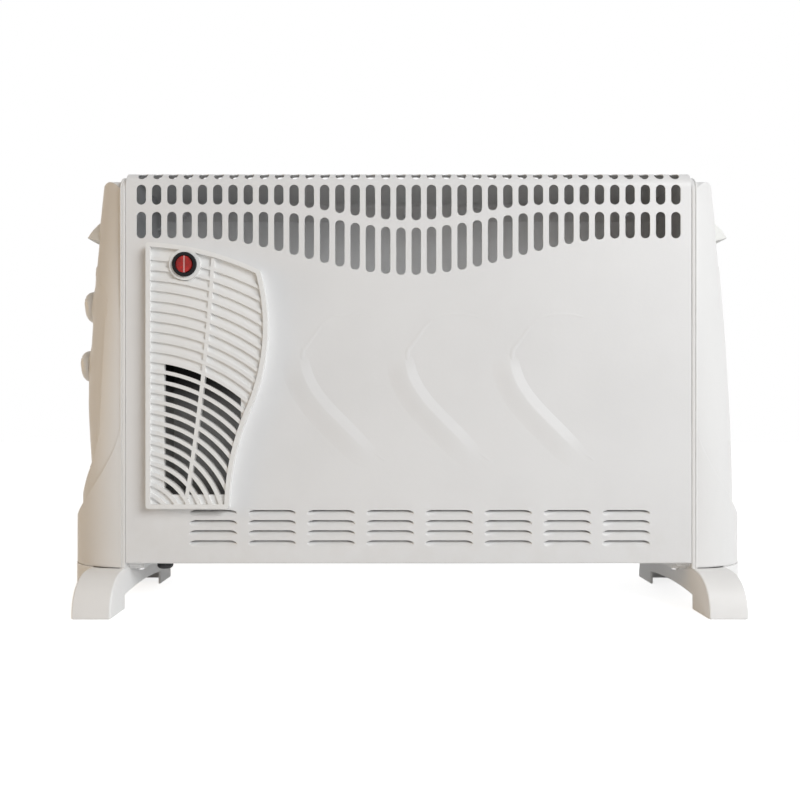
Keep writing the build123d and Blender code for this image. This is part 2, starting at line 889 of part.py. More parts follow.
# Carrying lips, one on each cap
with BuildPart() as grip:
    root_top = (pocket_floor_x, handle_top_z + handle_root)
    root_low = (pocket_floor_x, handle_under_z)
    lip_crown = (flange_outer_x + lip_crown_reach, handle_top_z - lip_crown_drop)
    tip_x = flange_outer_x + handle_reach
    tip_low = (tip_x, handle_under_z + handle_tip_rise)
    tip_top = (tip_x, handle_under_z + handle_tip_rise + lip_edge)
    with BuildSketch(Plane.XZ):
        with BuildLine():
            ThreePointArc(root_top, lip_crown, tip_top)
            Polyline(tip_top, tip_low, root_low, root_top)
        make_face()
    extrude(amount=half_depth, both=True)
    with BuildSketch(Plane.XY.offset(handle_under_z)):
        add(half_ellipse(handle_reach, lip_half_depth))
    extrude(amount=handle_thickness + 2 * handle_root, mode=Mode.INTERSECT)
    add(face_solid, mode=Mode.SUBTRACT)

with BuildPart() as right_handle_grip:
    add(grip.part)
save(right_handle_grip, "right_handle_grip")

with BuildPart() as left_handle_grip:
    mirror(grip.part, about=Plane.YZ)
save(left_handle_grip, "left_handle_grip")

# Control panel: a dished plate held in the left cap's opening
with BuildPart() as panel_dish:
    with BuildSketch(Plane.YZ.offset(flange_outer_x)):
        add(tongue_outline(tongue_rim))
    extrude(amount=cap_reach)
    add(panel_swell(0.0), mode=Mode.SUBTRACT)

inner_face = panel_swell(tongue_plate)

with BuildPart() as panel_blank:
    add(tongue.part)
    add(bulge(tongue_lip), mode=Mode.INTERSECT)
    add(inner_face, mode=Mode.SUBTRACT)
    add(panel_dish.part, mode=Mode.SUBTRACT)
    for z in (selector_z, thermostat_z):
        with BuildSketch(control_plane(z)):
            Circle(bush_diameter / 2)
        extrude(amount=-2 * tongue_plate, mode=Mode.SUBTRACT)

with BuildPart() as control_panel:
    mirror(panel_blank.part, about=Plane.YZ)
save(control_panel, "control_panel")


# Rotary controls: a switch body behind the panel, its shaft, nut and knob
def control_body(z):
    """Body of a rotary control, its shoulder against the back of the panel, its bush through it."""
    face = control_plane(z)
    body_front = face.offset(-(tongue_plate + control_setback))
    with BuildPart() as shoulder:
        with BuildSketch(body_front):
            Circle(control_shoulder / 2)
        extrude(amount=2 * control_setback)
        add(inner_face, mode=Mode.INTERSECT)
    with BuildPart() as body:
        with BuildSketch(body_front):
            RectangleRounded(control_body_width, control_body_height, control_body_round)
        extrude(amount=-control_body_depth)
        add(shoulder.part)
        with BuildSketch(body_front):
            Circle(bush_diameter / 2)
        extrude(amount=tongue_plate + control_setback + bush_stand)
        with BuildSketch(face.offset(bush_stand)):
            Circle(shaft_diameter / 2 + shaft_clearance)
        extrude(amount=-(bush_stand + tongue_plate + control_setback + shaft_seat), mode=Mode.SUBTRACT)
        with BuildSketch(body_front.offset(-control_body_depth)):
            with Locations((-control_body_width / 4, 0), (control_body_width / 4, 0)):
                Rectangle(switch_tab_thickness, switch_tab_width)
        extrude(amount=-switch_tab_length)
    return body.part


def control_shaft(z):
    """Shaft of a rotary control, from its seat in the body up into the knob."""
    low = tongue_plate + control_setback + shaft_seat - pin_end_play
    with BuildPart() as shaft:
        with BuildSketch(control_plane(z).offset(-low)):
            Circle(shaft_diameter / 2)
        extrude(amount=low + knob_clearance + knob_height - knob_crown)
    return shaft.part


def control_nut(z):
    """Hexagonal nut on the bush, outside the panel and inside the hollow of the knob."""
    with BuildPart() as nut:
        with BuildSketch(control_plane(z)):
            RegularPolygon(nut_width / 2, 6, major_radius=False)
            Circle(bush_diameter / 2, mode=Mode.SUBTRACT)
        extrude(amount=nut_thickness)
    return nut.part


def control_knob(z):
    """Domed knob with a grip bar, hollow below so that it clears the nut."""
    base = control_plane(z).offset(knob_clearance)
    with BuildPart() as knob:
        with BuildSketch(base):
            Circle(knob_diameter / 2)
        extrude(amount=knob_height)
        top_edge = knob.faces().sort_by(Axis(base.origin, base.z_dir))[-1].edges()
        fillet(top_edge, knob_round)
        with BuildSketch(base.offset(knob_height)):
            grip_offset = knob_grip_width / 2 + knob_diameter / 2
            with Locations((0, -grip_offset), (0, grip_offset)):
                Rectangle(knob_diameter, knob_diameter)
        extrude(amount=-knob_grip_depth, mode=Mode.SUBTRACT)
        with BuildSketch(base):
            Circle(knob_hollow / 2)
        extrude(amount=knob_hollow_depth, mode=Mode.SUBTRACT)
        with BuildSketch(base):
            Circle(shaft_diameter / 2)
        extrude(amount=knob_height - knob_crown, mode=Mode.SUBTRACT)
    return knob.part


for name, z in (("selector", selector_z), ("thermostat", thermostat_z)):
    with BuildPart() as body_piece:
        mirror(control_body(z), about=Plane.YZ)
    save(body_piece, f"{name}_body")
    with BuildPart() as shaft_piece:
        mirror(control_shaft(z), about=Plane.YZ)
    save(shaft_piece, f"{name}_shaft")
    with BuildPart() as nut_piece:
        mirror(control_nut(z), about=Plane.YZ)
    save(nut_piece, f"{name}_nut")
    with BuildPart() as knob_piece:
        mirror(control_knob(z), about=Plane.YZ)
    save(knob_piece, f"{name}_knob")

# Feet: an arched leg under each cap, with a saddle that carries on the cap's outline
tab_bottom = base_z - tab_thickness

with BuildSketch() as foot_side:
    with BuildLine():
        rise = [(-half_depth, cap_bottom), *[(-y, z) for y, z in foot_bend], (-foot_half_length, 0)]
        Spline(*rise, tangents=[(-1, 0), (-foot_toe_draft, -1)])
        Spline(*[(-y, z) for y, z in rise], tangents=[(1, 0), (foot_toe_draft, -1)])
        Line((-half_depth, cap_bottom), (half_depth, cap_bottom))
        heel = foot_half_length - foot_pad_length
        Polyline((-foot_half_length, 0), (-heel, 0), (-heel, foot_pad_wall))
        ThreePointArc((-heel, foot_pad_wall), (0, foot_arch_top), (heel, foot_pad_wall))
        Polyline((heel, foot_pad_wall), (heel, 0), (foot_half_length, 0))
    make_face()

with BuildPart() as saddle:
    with BuildSketch(Plane.XY.offset(saddle_bottom)):
        add(half_ellipse(cap_reach, half_depth))
    extrude(amount=cap_bottom - saddle_bottom)
    with BuildSketch(Plane.YZ.offset(half_width)):
        add(foot_side.sketch)
    extrude(amount=2 * cap_reach, mode=Mode.INTERSECT)

tab_screws = [(half_width - tab_reach / 2, y) for y in (-foot_screw_y, foot_screw_y)]

with BuildPart() as foot:
    with BuildSketch(Plane.YZ.offset(half_width)):
        add(foot_side.sketch)
    extrude(amount=foot_leg_width)
    with BuildSketch():
        with Locations((half_width + foot_leg_width / 2, 0)):
            Rectangle(foot_leg_width - 2 * foot_wall, 2 * foot_hollow_half_length)
    extrude(amount=foot_hollow_height, mode=Mode.SUBTRACT)
    add(saddle.part)
    with BuildSketch(Plane.XY.offset(tab_bottom)):
        with Locations((half_width - tab_reach / 2, 0)):
            Rectangle(tab_reach, 2 * tab_half_length)
        with Locations((-gland_x, 0)):
            Circle(gland_diameter / 2 + tab_notch_clearance, mode=Mode.SUBTRACT)
    extrude(amount=tab_thickness)
    with BuildSketch(Plane.XY.offset(tab_bottom)):
        with Locations(*tab_screws):
            Circle(screw_core / 2)
    extrude(amount=tab_thickness, mode=Mode.SUBTRACT)

with BuildPart() as right_foot:
    add(foot.part)
save(right_foot, "right_foot")

with BuildPart() as left_foot:
    mirror(foot.part, about=Plane.YZ)
save(left_foot, "left_foot")

with BuildPart() as foot_screws:
    foot_screw = screw_solid(Plane(origin=(0, 0, tab_bottom), x_dir=(1, 0, 0), z_dir=(0, 0, -1)))
    with Locations(*[(side * x, y, 0) for side in (-1, 1) for x, y in tab_screws]):
        add(foot_screw)
save(foot_screws, "foot_screws")

# Chassis: side plates, base plate and the partition beside the fan
plate_z = base_z + 2 * sheet

with BuildPart() as side_blank:
    with BuildSketch(Plane.YZ.offset(half_width - side_plate)):
        with BuildLine():
            FilletPolyline(
                (inner_front_y, plate_z), (inner_front_y, case_top - sheet),
                (inner_back_y - sheet, case_top - sheet), (inner_back_y - sheet, plate_z),
                radius=[front_bend_radius - sheet, rear_bend_radius - sheet])
            Line((inner_back_y - sheet, plate_z), (inner_front_y, plate_z))
        make_face()
    extrude(amount=side_plate)
    with BuildSketch(Plane.YZ.offset(half_width - side_plate)):
        with Locations(*cap_screw_places):
            Circle(screw_core / 2)
    extrude(amount=side_plate, mode=Mode.SUBTRACT)

element_z = case_bottom + element_rise
element_ys = (-element_spacing / 2, element_spacing / 2)
pin_places = [(y, element_z) for y in element_ys]

with BuildPart() as right_side_plate:
    add(side_blank.part)
    with BuildSketch(Plane.YZ.offset(half_width - side_plate)):
        with Locations(*pin_places):
            Circle(insulator_diameter / 2)
    extrude(amount=side_plate, mode=Mode.SUBTRACT)
save(right_side_plate, "right_side_plate")

with BuildPart() as left_side_plate:
    mirror(side_blank.part, about=Plane.YZ)
    with BuildSketch(Plane.YZ.offset(-half_width)):
        with Locations((0, (selector_z + thermostat_z) / 2)):
            Circle(wire_hole / 2)
    extrude(amount=side_plate, mode=Mode.SUBTRACT)
save(left_side_plate, "left_side_plate")

with BuildPart() as cap_screws:
    for side in (-1, 1):
        cap_screw = screw_solid(Plane(
            origin=(side * (half_width - side_plate), 0, 0), x_dir=(0, 1, 0), z_dir=(-side, 0, 0)))
        with Locations(*[(0, y, z) for y, z in cap_screw_places]):
            add(cap_screw)
save(cap_screws, "cap_screws")

base_half = half_width - side_plate
base_front_y = inner_front_y + 2 * sheet
with BuildPart() as base_plate:
    with BuildSketch(Plane.XY.offset(base_z)):
        with Locations((0, (base_front_y + inner_back_y) / 2)):
            Rectangle(2 * base_half, inner_back_y - base_front_y)
        with Locations(((partition_x + half_width) / 2, 0)):
            with GridLocations(intake_pitch_x, intake_pitch_y, intake_columns, intake_rows):
                SlotOverall(intake_slot_length, intake_slot_width, mode=Mode.SUBTRACT)
        with Locations(*[(side * x, y) for side in (-1, 1) for x, y in tab_screws]):
            Circle(screw_core / 2, mode=Mode.SUBTRACT)
        with Locations((gland_x, 0)):
            Circle(gland_thread / 2, mode=Mode.SUBTRACT)
    extrude(amount=sheet)
    with BuildSketch(Plane.XY.offset(base_z)):
        with Locations((0, inner_back_y - sheet / 2)):
            Rectangle(2 * base_half, sheet)
    extrude(amount=base_flange)
    with BuildSketch(back_plane):
        with Locations(*[(x, back_screw_rows[0]) for x in back_screw_x]):
            Circle(screw_core / 2)
    extrude(amount=screw_length, mode=Mode.SUBTRACT)
save(base_plate, "base_plate")

# Back panel: a flat sheet over the rear flanges, with slots and a lip below
back_panel_top = case_top - rear_bend_radius - back_top_gap
back_screw_places = [(x, z) for x in back_screw_x for z in back_screw_rows]

with BuildPart() as back_panel:
    with BuildSketch(Plane.YZ.offset(-half_width)):
        with BuildLine():
            Polyline(
                (half_depth - lower_lip, case_bottom), (half_depth, case_bottom),
                (half_depth, back_panel_top), (inner_back_y, back_panel_top),
                (inner_back_y, base_z), (half_depth - lower_lip, base_z), close=True)
        make_face()
    extrude(amount=case_width)
    with BuildSketch(back_plane):
        with Locations(*[(0, case_bottom + rise) for rise in back_slot_rises]):
            with GridLocations(back_slot_pitch, 0, back_slot_count, 1):
                SlotOverall(back_slot_length, back_slot_width, rotation=90)
        with Locations(*back_screw_places):
            Circle(screw_core / 2)
    extrude(amount=sheet, mode=Mode.SUBTRACT)
save(back_panel, "back_panel")

with BuildPart() as back_screws:
    back_screw = screw_solid(Plane(origin=(0, half_depth, 0), x_dir=(1, 0, 0), z_dir=(0, 1, 0)))
    with Locations(*[(x, 0, z) for x, z in back_screw_places]):
        add(back_screw)
save(back_screws, "back_screws")

partition_top = case_bottom + partition_height

with BuildPart() as partition_plate:
    with BuildSketch(Plane.YZ.offset(partition_x)):
        with BuildLine():
            Polyline(
                (inner_front_y, base_z + sheet), (inner_front_y, partition_top),
                (inner_back_y - sheet, partition_top), (inner_back_y - sheet, base_z + sheet), close=True)
        make_face()
        with Locations(*pin_places):
            Circle(insulator_diameter / 2, mode=Mode.SUBTRACT)
    extrude(amount=sheet)
save(partition_plate, "partition_plate")

# Heating elements: a rod with crossed fins, carried at both ends in ceramic bushes
element_left = partition_face + element_end_gap
element_right = half_width - side_plate - element_end_gap
pin_left = partition_x - pin_overhang
pin_right = half_width + pin_overhang


def heating_element(y):
    """One element along X: finned body and its two end pins."""
    with BuildPart() as element:
        with BuildSketch(Plane.YZ.offset(element_left)):
            with Locations((y, element_z)):
                Circle(element_core / 2)
                for index in range(element_fin_count):
                    Rectangle(element_fin_span, element_fin, rotation=45 + index * 180 / element_fin_count)
        extrude(amount=element_right - element_left)
        with BuildSketch(Plane.YZ.offset(pin_left)):
            with Locations((y, element_z)):
                Circle(pin_diameter / 2)
        extrude(amount=pin_right - pin_left)
    return element.part


for name, y in zip(("front_heating_element", "rear_heating_element"), element_ys):
    with BuildPart() as element_piece:
        add(heating_element(y))
    save(element_piece, name)


def insulator(plate_x, side):
    """Ceramic bush: a collar against the plate's hot face and a sleeve through it."""
    with BuildPart() as bush:
        with BuildSketch(Plane.YZ.offset(plate_x)):
            Circle(insulator_flange / 2)
            Circle(pin_diameter / 2, mode=Mode.SUBTRACT)
        extrude(amount=-side * insulator_flange_length)
        with BuildSketch(Plane.YZ.offset(plate_x)):
            Circle(insulator_diameter / 2)
            Circle(pin_diameter / 2, mode=Mode.SUBTRACT)
        extrude(amount=side * insulator_length)
    return bush.part


with BuildPart() as element_insulators:
    for plate_x, side in ((partition_face, -1), (half_width - side_plate, 1)):
        bush_solid = insulator(plate_x, side)
        with Locations(*[(0, y, z) for y, z in pin_places]):
            add(bush_solid)
save(element_insulators, "element_insulators")

cutout_z = element_z + cutout_rise

with BuildPart() as thermal_cutout:
    with BuildSketch(Plane.YZ.offset(partition_face)):
        with Locations((0, cutout_z)):
            Circle(cutout_diameter / 2)
    extrude(amount=cutout_length)
    with BuildSketch(Plane.YZ.offset(partition_face)):
        with Locations((0, cutout_z)):
            Rectangle(cutout_flange, switch_tab_width)
    extrude(amount=switch_tab_thickness)
save(thermal_cutout, "thermal_cutout")

# Turbo fan: a drum impeller in a scroll that blows down into a duct behind the grille
scroll_depth = impeller_width + 2 * running_gap + 2 * scroll_wall
scroll_back_y = inner_front_y + scroll_depth
duct_width = 2 * scroll_radius
scroll_centre = (scroll_centre_x, scroll_centre_z)


def scroll_outline(inset):
    """Round housing with a straight throat down to the duct."""
    with BuildSketch() as outline:
        with Locations(scroll_centre):
            Circle(scroll_radius - inset)
        with Locations((scroll_centre_x, (scroll_centre_z + duct_top) / 2)):
            Rectangle(duct_width - 2 * inset, scroll_centre_z - duct_top)
    return outline.sketch


with BuildPart() as fan_scroll:
    with BuildSketch(inner_front_plane):
        add(scroll_outline(0.0))
    extrude(amount=-scroll_depth)
    with BuildSketch(inner_front_plane.offset(-scroll_wall)):
        add(scroll_outline(scroll_wall))
    extrude(amount=-(scroll_depth - 2 * scroll_wall), mode=Mode.SUBTRACT)
    with BuildSketch(inner_front_plane.offset(-scroll_depth)):
        with Locations(scroll_centre):
            Circle(scroll_inlet / 2)
    extrude(amount=scroll_wall, mode=Mode.SUBTRACT)
save(fan_scroll, "fan_scroll")

with BuildPart() as fan_duct:
    with BuildSketch(Plane.YZ.offset(scroll_centre_x - duct_width / 2)):
        with BuildLine():
            outer = FilletPolyline(
                (inner_front_y, duct_low), (scroll_back_y, duct_low), (scroll_back_y, duct_top),
                radius=duct_bend)
            Polyline(outer @ 1, (inner_front_y, duct_top), outer @ 0)
        make_face()
    extrude(amount=duct_width)
    with BuildSketch(Plane.YZ.offset(scroll_centre_x - duct_width / 2 + duct_sheet)):
        with BuildLine():
            inner = FilletPolyline(
                (inner_front_y, duct_low + duct_sheet), (scroll_back_y - duct_sheet, duct_low + duct_sheet),
                (scroll_back_y - duct_sheet, duct_top), radius=duct_bend - duct_sheet)
            Polyline(inner @ 1, (inner_front_y, duct_top), inner @ 0)
        make_face()
    extrude(amount=duct_width - 2 * duct_sheet, mode=Mode.SUBTRACT)
save(fan_duct, "fan_duct")

impeller_front_y = inner_front_y + scroll_wall + running_gap
impeller_plane = Plane.XZ.offset(-impeller_front_y)
disc_plane = impeller_plane.offset(-impeller_disc)
ring_depth = impeller_width - impeller_ring

with BuildPart() as fan_impeller:
    with BuildSketch(impeller_plane):
        with Locations(scroll_centre):
            Circle(impeller_diameter / 2)
    extrude(amount=-impeller_disc)
    with BuildSketch(disc_plane):
        with Locations(scroll_centre):
            with PolarLocations(impeller_diameter / 2 - blade_depth / 2, impeller_blades):
                Rectangle(blade_depth, blade_thickness)
    extrude(amount=-(ring_depth - impeller_disc))
    with BuildSketch(impeller_plane.offset(-ring_depth)):
        with Locations(scroll_centre):
            Circle(impeller_diameter / 2)
            Circle(impeller_diameter / 2 - blade_depth, mode=Mode.SUBTRACT)
    extrude(amount=-impeller_ring)
    with BuildSketch(impeller_plane):
        with Locations(scroll_centre):
            Circle(hub_diameter / 2)
    extrude(amount=-ring_depth)
    with BuildSketch(disc_plane):
        with Locations(scroll_centre):
            Circle(rotor_shaft / 2)
    extrude(amount=-impeller_width, mode=Mode.SUBTRACT)
save(fan_impeller, "fan_impeller")

shaft_end_y = scroll_back_y + bracket_thickness + motor_length / 2
with BuildPart() as fan_shaft:
    with BuildSketch(disc_plane):
        with Locations(scroll_centre):
            Circle(rotor_shaft / 2)
    extrude(amount=-(shaft_end_y - impeller_front_y - impeller_disc))
save(fan_shaft, "fan_shaft")

bracket_plane = Plane.XZ.offset(-scroll_back_y)
motor_plane = bracket_plane.offset(-bracket_thickness)
with BuildPart() as motor_bracket:
    with BuildSketch(bracket_plane):
        with Locations(scroll_centre):
            Rectangle(bracket_width, 2 * scroll_radius - 2 * scroll_wall)
            Circle(motor_boss / 2, mode=Mode.SUBTRACT)
    extrude(amount=-bracket_thickness)
save(motor_bracket, "motor_bracket")

with BuildPart() as fan_motor:
    with BuildSketch(motor_plane):
        with Locations(scroll_centre):
            Circle(motor_diameter / 2)
    extrude(amount=-motor_length)
    with BuildSketch(motor_plane):
        with Locations(scroll_centre):
            Circle(motor_boss / 2)
    extrude(amount=motor_boss_length)
    with BuildSketch(motor_plane.offset(motor_boss_length)):
        with Locations(scroll_centre):
            Circle(rotor_shaft / 2 + rotor_clearance)
    extrude(amount=-(motor_boss_length + motor_length / 2 + running_gap), mode=Mode.SUBTRACT)
save(fan_motor, "fan_motor")

# Mains entry
terminal_place = (terminal_distance - half_width, terminal_y)

with BuildPart() as terminal_block:
    with BuildSketch(Plane.XY.offset(base_z + sheet)):
        with Locations(terminal_place):
            Rectangle(terminal_length, terminal_width)
    extrude(amount=terminal_height)
    with BuildSketch(Plane.XY.offset(base_z + sheet + terminal_height)):
        with Locations(terminal_place):
            with GridLocations(terminal_length / terminal_ways, 0, terminal_ways, 1):
                Circle(terminal_well / 2)
    extrude(amount=-terminal_well_depth, mode=Mode.SUBTRACT)
save(terminal_block, "terminal_block")

with BuildPart() as cord_gland:
    with BuildSketch(Plane.XY.offset(base_z)):
        with Locations((gland_x, 0)):
            Circle(gland_diameter / 2)
    extrude(amount=-gland_drop)
    fillet(cord_gland.edges().group_by(Axis.Z)[0], gland_round)
    with BuildSketch(Plane.XY.offset(base_z)):
        with Locations((gland_x, 0)):
            Circle(gland_thread / 2)
    extrude(amount=sheet + gland_nut_thickness + gland_thread_spare)
    with BuildSketch(Plane.XY.offset(base_z - gland_drop)):
        with Locations((gland_x, 0)):
            Circle(gland_bore / 2)
    extrude(
        amount=gland_drop + sheet + gland_nut_thickness + gland_thread_spare, mode=Mode.SUBTRACT)
save(cord_gland, "cord_gland")

with BuildPart() as gland_nut:
    with BuildSketch(Plane.XY.offset(base_z + sheet)):
        with Locations((gland_x, 0)):
            RegularPolygon(gland_nut_width / 2, 6, major_radius=False)
            Circle(gland_thread / 2, mode=Mode.SUBTRACT)
    extrude(amount=gland_nut_thickness)
save(gland_nut, "gland_nut")
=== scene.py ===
"""Convector heater: the look of the CAD frame, laid out as a small add-on.

Every length is in metres. The right end is drawn first; the left one is its mirror image,
apart from the control panel. Surfaces are whole grids of points worked out with numpy.
"""

import math

import bmesh
import bpy
import numpy as np
from bpy.props import FloatProperty, FloatVectorProperty, PointerProperty
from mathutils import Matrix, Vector


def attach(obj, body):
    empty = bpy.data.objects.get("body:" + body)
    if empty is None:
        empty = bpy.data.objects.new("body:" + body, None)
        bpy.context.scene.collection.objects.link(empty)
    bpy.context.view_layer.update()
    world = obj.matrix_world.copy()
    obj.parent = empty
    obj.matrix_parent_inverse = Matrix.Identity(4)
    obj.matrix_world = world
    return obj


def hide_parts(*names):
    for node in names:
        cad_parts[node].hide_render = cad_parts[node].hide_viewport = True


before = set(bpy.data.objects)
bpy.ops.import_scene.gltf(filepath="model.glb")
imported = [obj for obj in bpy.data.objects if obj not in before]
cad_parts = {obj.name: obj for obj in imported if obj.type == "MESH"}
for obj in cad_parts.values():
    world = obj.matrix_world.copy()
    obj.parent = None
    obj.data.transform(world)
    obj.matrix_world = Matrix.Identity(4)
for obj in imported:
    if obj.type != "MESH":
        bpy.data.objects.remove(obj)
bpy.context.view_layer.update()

bl_info = {
    "name": "Convector heater look",
    "version": (1, 0, 0),
    "blender": (4, 5, 0),
    "location": "View3D > Sidebar > Heater",
    "description": "Dresses the packed frame of a convector heater with shapes and materials",
    "category": "Object",
}

MAIN_BODY = "heater"
RIGHT, LEFT = 1, -1
SIDES = {RIGHT: "right", LEFT: "left"}


# Numbers on curves
def smooth_step(x):
    """Nought below 0, one above 1, and three x squared less two x cubed between them."""
    x = np.clip(x, 0.0, 1.0)
    return x * x * (3.0 - 2.0 * x)


def quarter_round(distance, radius):
    """How far a rounded edge has fallen back at a distance from the edge's end.

    The radius times one less the root of one less the square of the missing share."""
    share = np.clip(1.0 - distance / radius, 0.0, 1.0)
    return radius * (1.0 - np.sqrt(1.0 - share * share))


def section_out(y, reach, depth):
    """How far an arc of a circle stands out at y.

    The arc starts and ends at plus and minus the depth and stands out by the reach at the middle:
    the root of the radius squared less y squared, less what the centre lies behind."""
    radius = (depth * depth + reach * reach) / (2.0 * reach)
    return np.sqrt(np.maximum(radius * radius - y * y, 0.0)) - (radius - reach)


def along(x, y, z):
    """Points from three grids of coordinates of the same shape."""
    return np.stack(np.broadcast_arrays(x, y, z), axis=-1)


# Meshes
def grid_faces(rows, columns, wrap):
    """Quads over a grid of points numbered row by row; wrap joins the last column to the first."""
    index = np.arange(rows * columns).reshape(rows, columns)
    if wrap:
        index = np.concatenate([index, index[:, :1]], axis=1)
    quads = np.stack([index[:-1, :-1], index[:-1, 1:], index[1:, 1:], index[1:, :-1]], axis=-1)
    return quads.reshape(-1, 4)


def loops(points):
    """A closed skin through a stack of closed loops, each end drawn in to its own middle."""
    first = np.broadcast_to(points[:1].mean(axis=1, keepdims=True), points[:1].shape)
    last = np.broadcast_to(points[-1:].mean(axis=1, keepdims=True), points[-1:].shape)
    whole = np.concatenate([first, points, last], axis=0)
    return whole.reshape(-1, 3), grid_faces(*whole.shape[:2], wrap=True).tolist()


def lidded(points):
    """A closed skin through a stack of closed loops, with one flat face on each end."""
    rows, columns = points.shape[:2]
    last = (rows - 1) * columns
    lids = [list(range(columns)), list(range(last, last + columns))]
    return points.reshape(-1, 3), grid_faces(rows, columns, wrap=True).tolist() + lids


def piece(name, skins, body, material, replaces=()):
    """One object from closed skins: joined, welded, facing outwards and smooth up to its edges."""
    points, faces, start = [], [], 0
    for skin_points, skin_faces in skins:
        points.append(skin_points)
        faces += [[start + corner for corner in face] for face in skin_faces]
        start += len(skin_points)
    mesh = bpy.data.meshes.new(name)
    mesh.from_pydata(np.concatenate(points).tolist(), [], faces)
    work = bmesh.new()
    work.from_mesh(mesh)
    bmesh.ops.remove_doubles(work, verts=work.verts, dist=1e-6)
    bmesh.ops.dissolve_degenerate(work, edges=work.edges, dist=1e-7)
    bmesh.ops.triangulate(work, faces=[face for face in work.faces if len(face.verts) > 4])
    bmesh.ops.recalc_face_normals(work, faces=work.faces)
    work.to_mesh(mesh)
    work.free()
    mesh.polygons.foreach_set("use_smooth", np.ones(len(mesh.polygons), dtype=bool))
    mesh.set_sharp_from_angle(angle=math.radians(38.0))
    mesh.materials.append(material)
    made = bpy.data.objects.new(name, mesh)
    bpy.context.scene.collection.objects.link(made)
    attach(made, body)
    if replaces:
        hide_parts(*replaces)
    return made


def on_side(skins, side):
    """Skins drawn for the right end, turned over for the left one."""
    flip = np.array([side, 1.0, 1.0])
    return [(points * flip, faces) for points, faces in skins]


def dress(material, *names):
    """Gives CAD nodes a material in place of their plain one."""
    for name in names:
        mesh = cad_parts[name].data
        mesh.materials.clear()
        mesh.materials.append(material)


# Materials
class Signal:
    """One output of a node tree, used in sums like a number."""

    def __init__(self, finish, socket):
        self.finish = finish
        self.socket = socket

    def maths(self, operation, first, second):
        """One Math node on two signals or numbers."""
        made = self.finish.node(
            "ShaderNodeMath", {"operation": operation}, {0: first, 1: second})
        return Signal(self.finish, made.outputs[0])

    def __add__(self, other):
        return self.maths("ADD", self, other)

    def __radd__(self, other):
        return self.maths("ADD", other, self)

    def __sub__(self, other):
        return self.maths("SUBTRACT", self, other)

    def __rsub__(self, other):
        return self.maths("SUBTRACT", other, self)

    def __mul__(self, other):
        return self.maths("MULTIPLY", self, other)

    def __rmul__(self, other):
        return self.maths("MULTIPLY", other, self)

    def size(self):
        """The value without its sign."""
        return self.maths("ABSOLUTE", self, 0.0)

    def step(self, low, high):
        """Nought at low, one at high and a smooth rise between them."""
        made = self.finish.node(
            "ShaderNodeMapRange", {"interpolation_type": "SMOOTHSTEP"},
            {"Value": self, "From Min": low, "From Max": high})
        return Signal(self.finish, made.outputs["Result"])


class Tree:
    """A node tree under construction."""

    def __init__(self, tree):
        self.tree = tree
        tree.nodes.clear()

    def node(self, kind, settings=None, inputs=None):
        """Adds one node: its settings first, and then its inputs."""
        made = self.tree.nodes.new(kind)
        for setting, value in (settings or {}).items():
            setattr(made, setting, value)
        for socket, value in (inputs or {}).items():
            self.feed(made.inputs[socket], value)
        return made

    def feed(self, socket, value):
        """Links a signal or a socket, or sets a plain value."""
        if isinstance(value, Signal):
            value = value.socket
        if isinstance(value, bpy.types.NodeSocket):
            self.tree.links.new(value, socket)
        else:
            socket.default_value = value

    def seen(self):
        """One for rays from the camera, off gloss or through glass."""
        path = self.node("ShaderNodeLightPath")
        rays = [Signal(self, path.outputs[name])
                for name in ("Is Camera Ray", "Is Glossy Ray", "Is Transmission Ray")]
        return rays[0].maths("MAXIMUM", rays[0], rays[1].maths("MAXIMUM", rays[1], rays[2]))


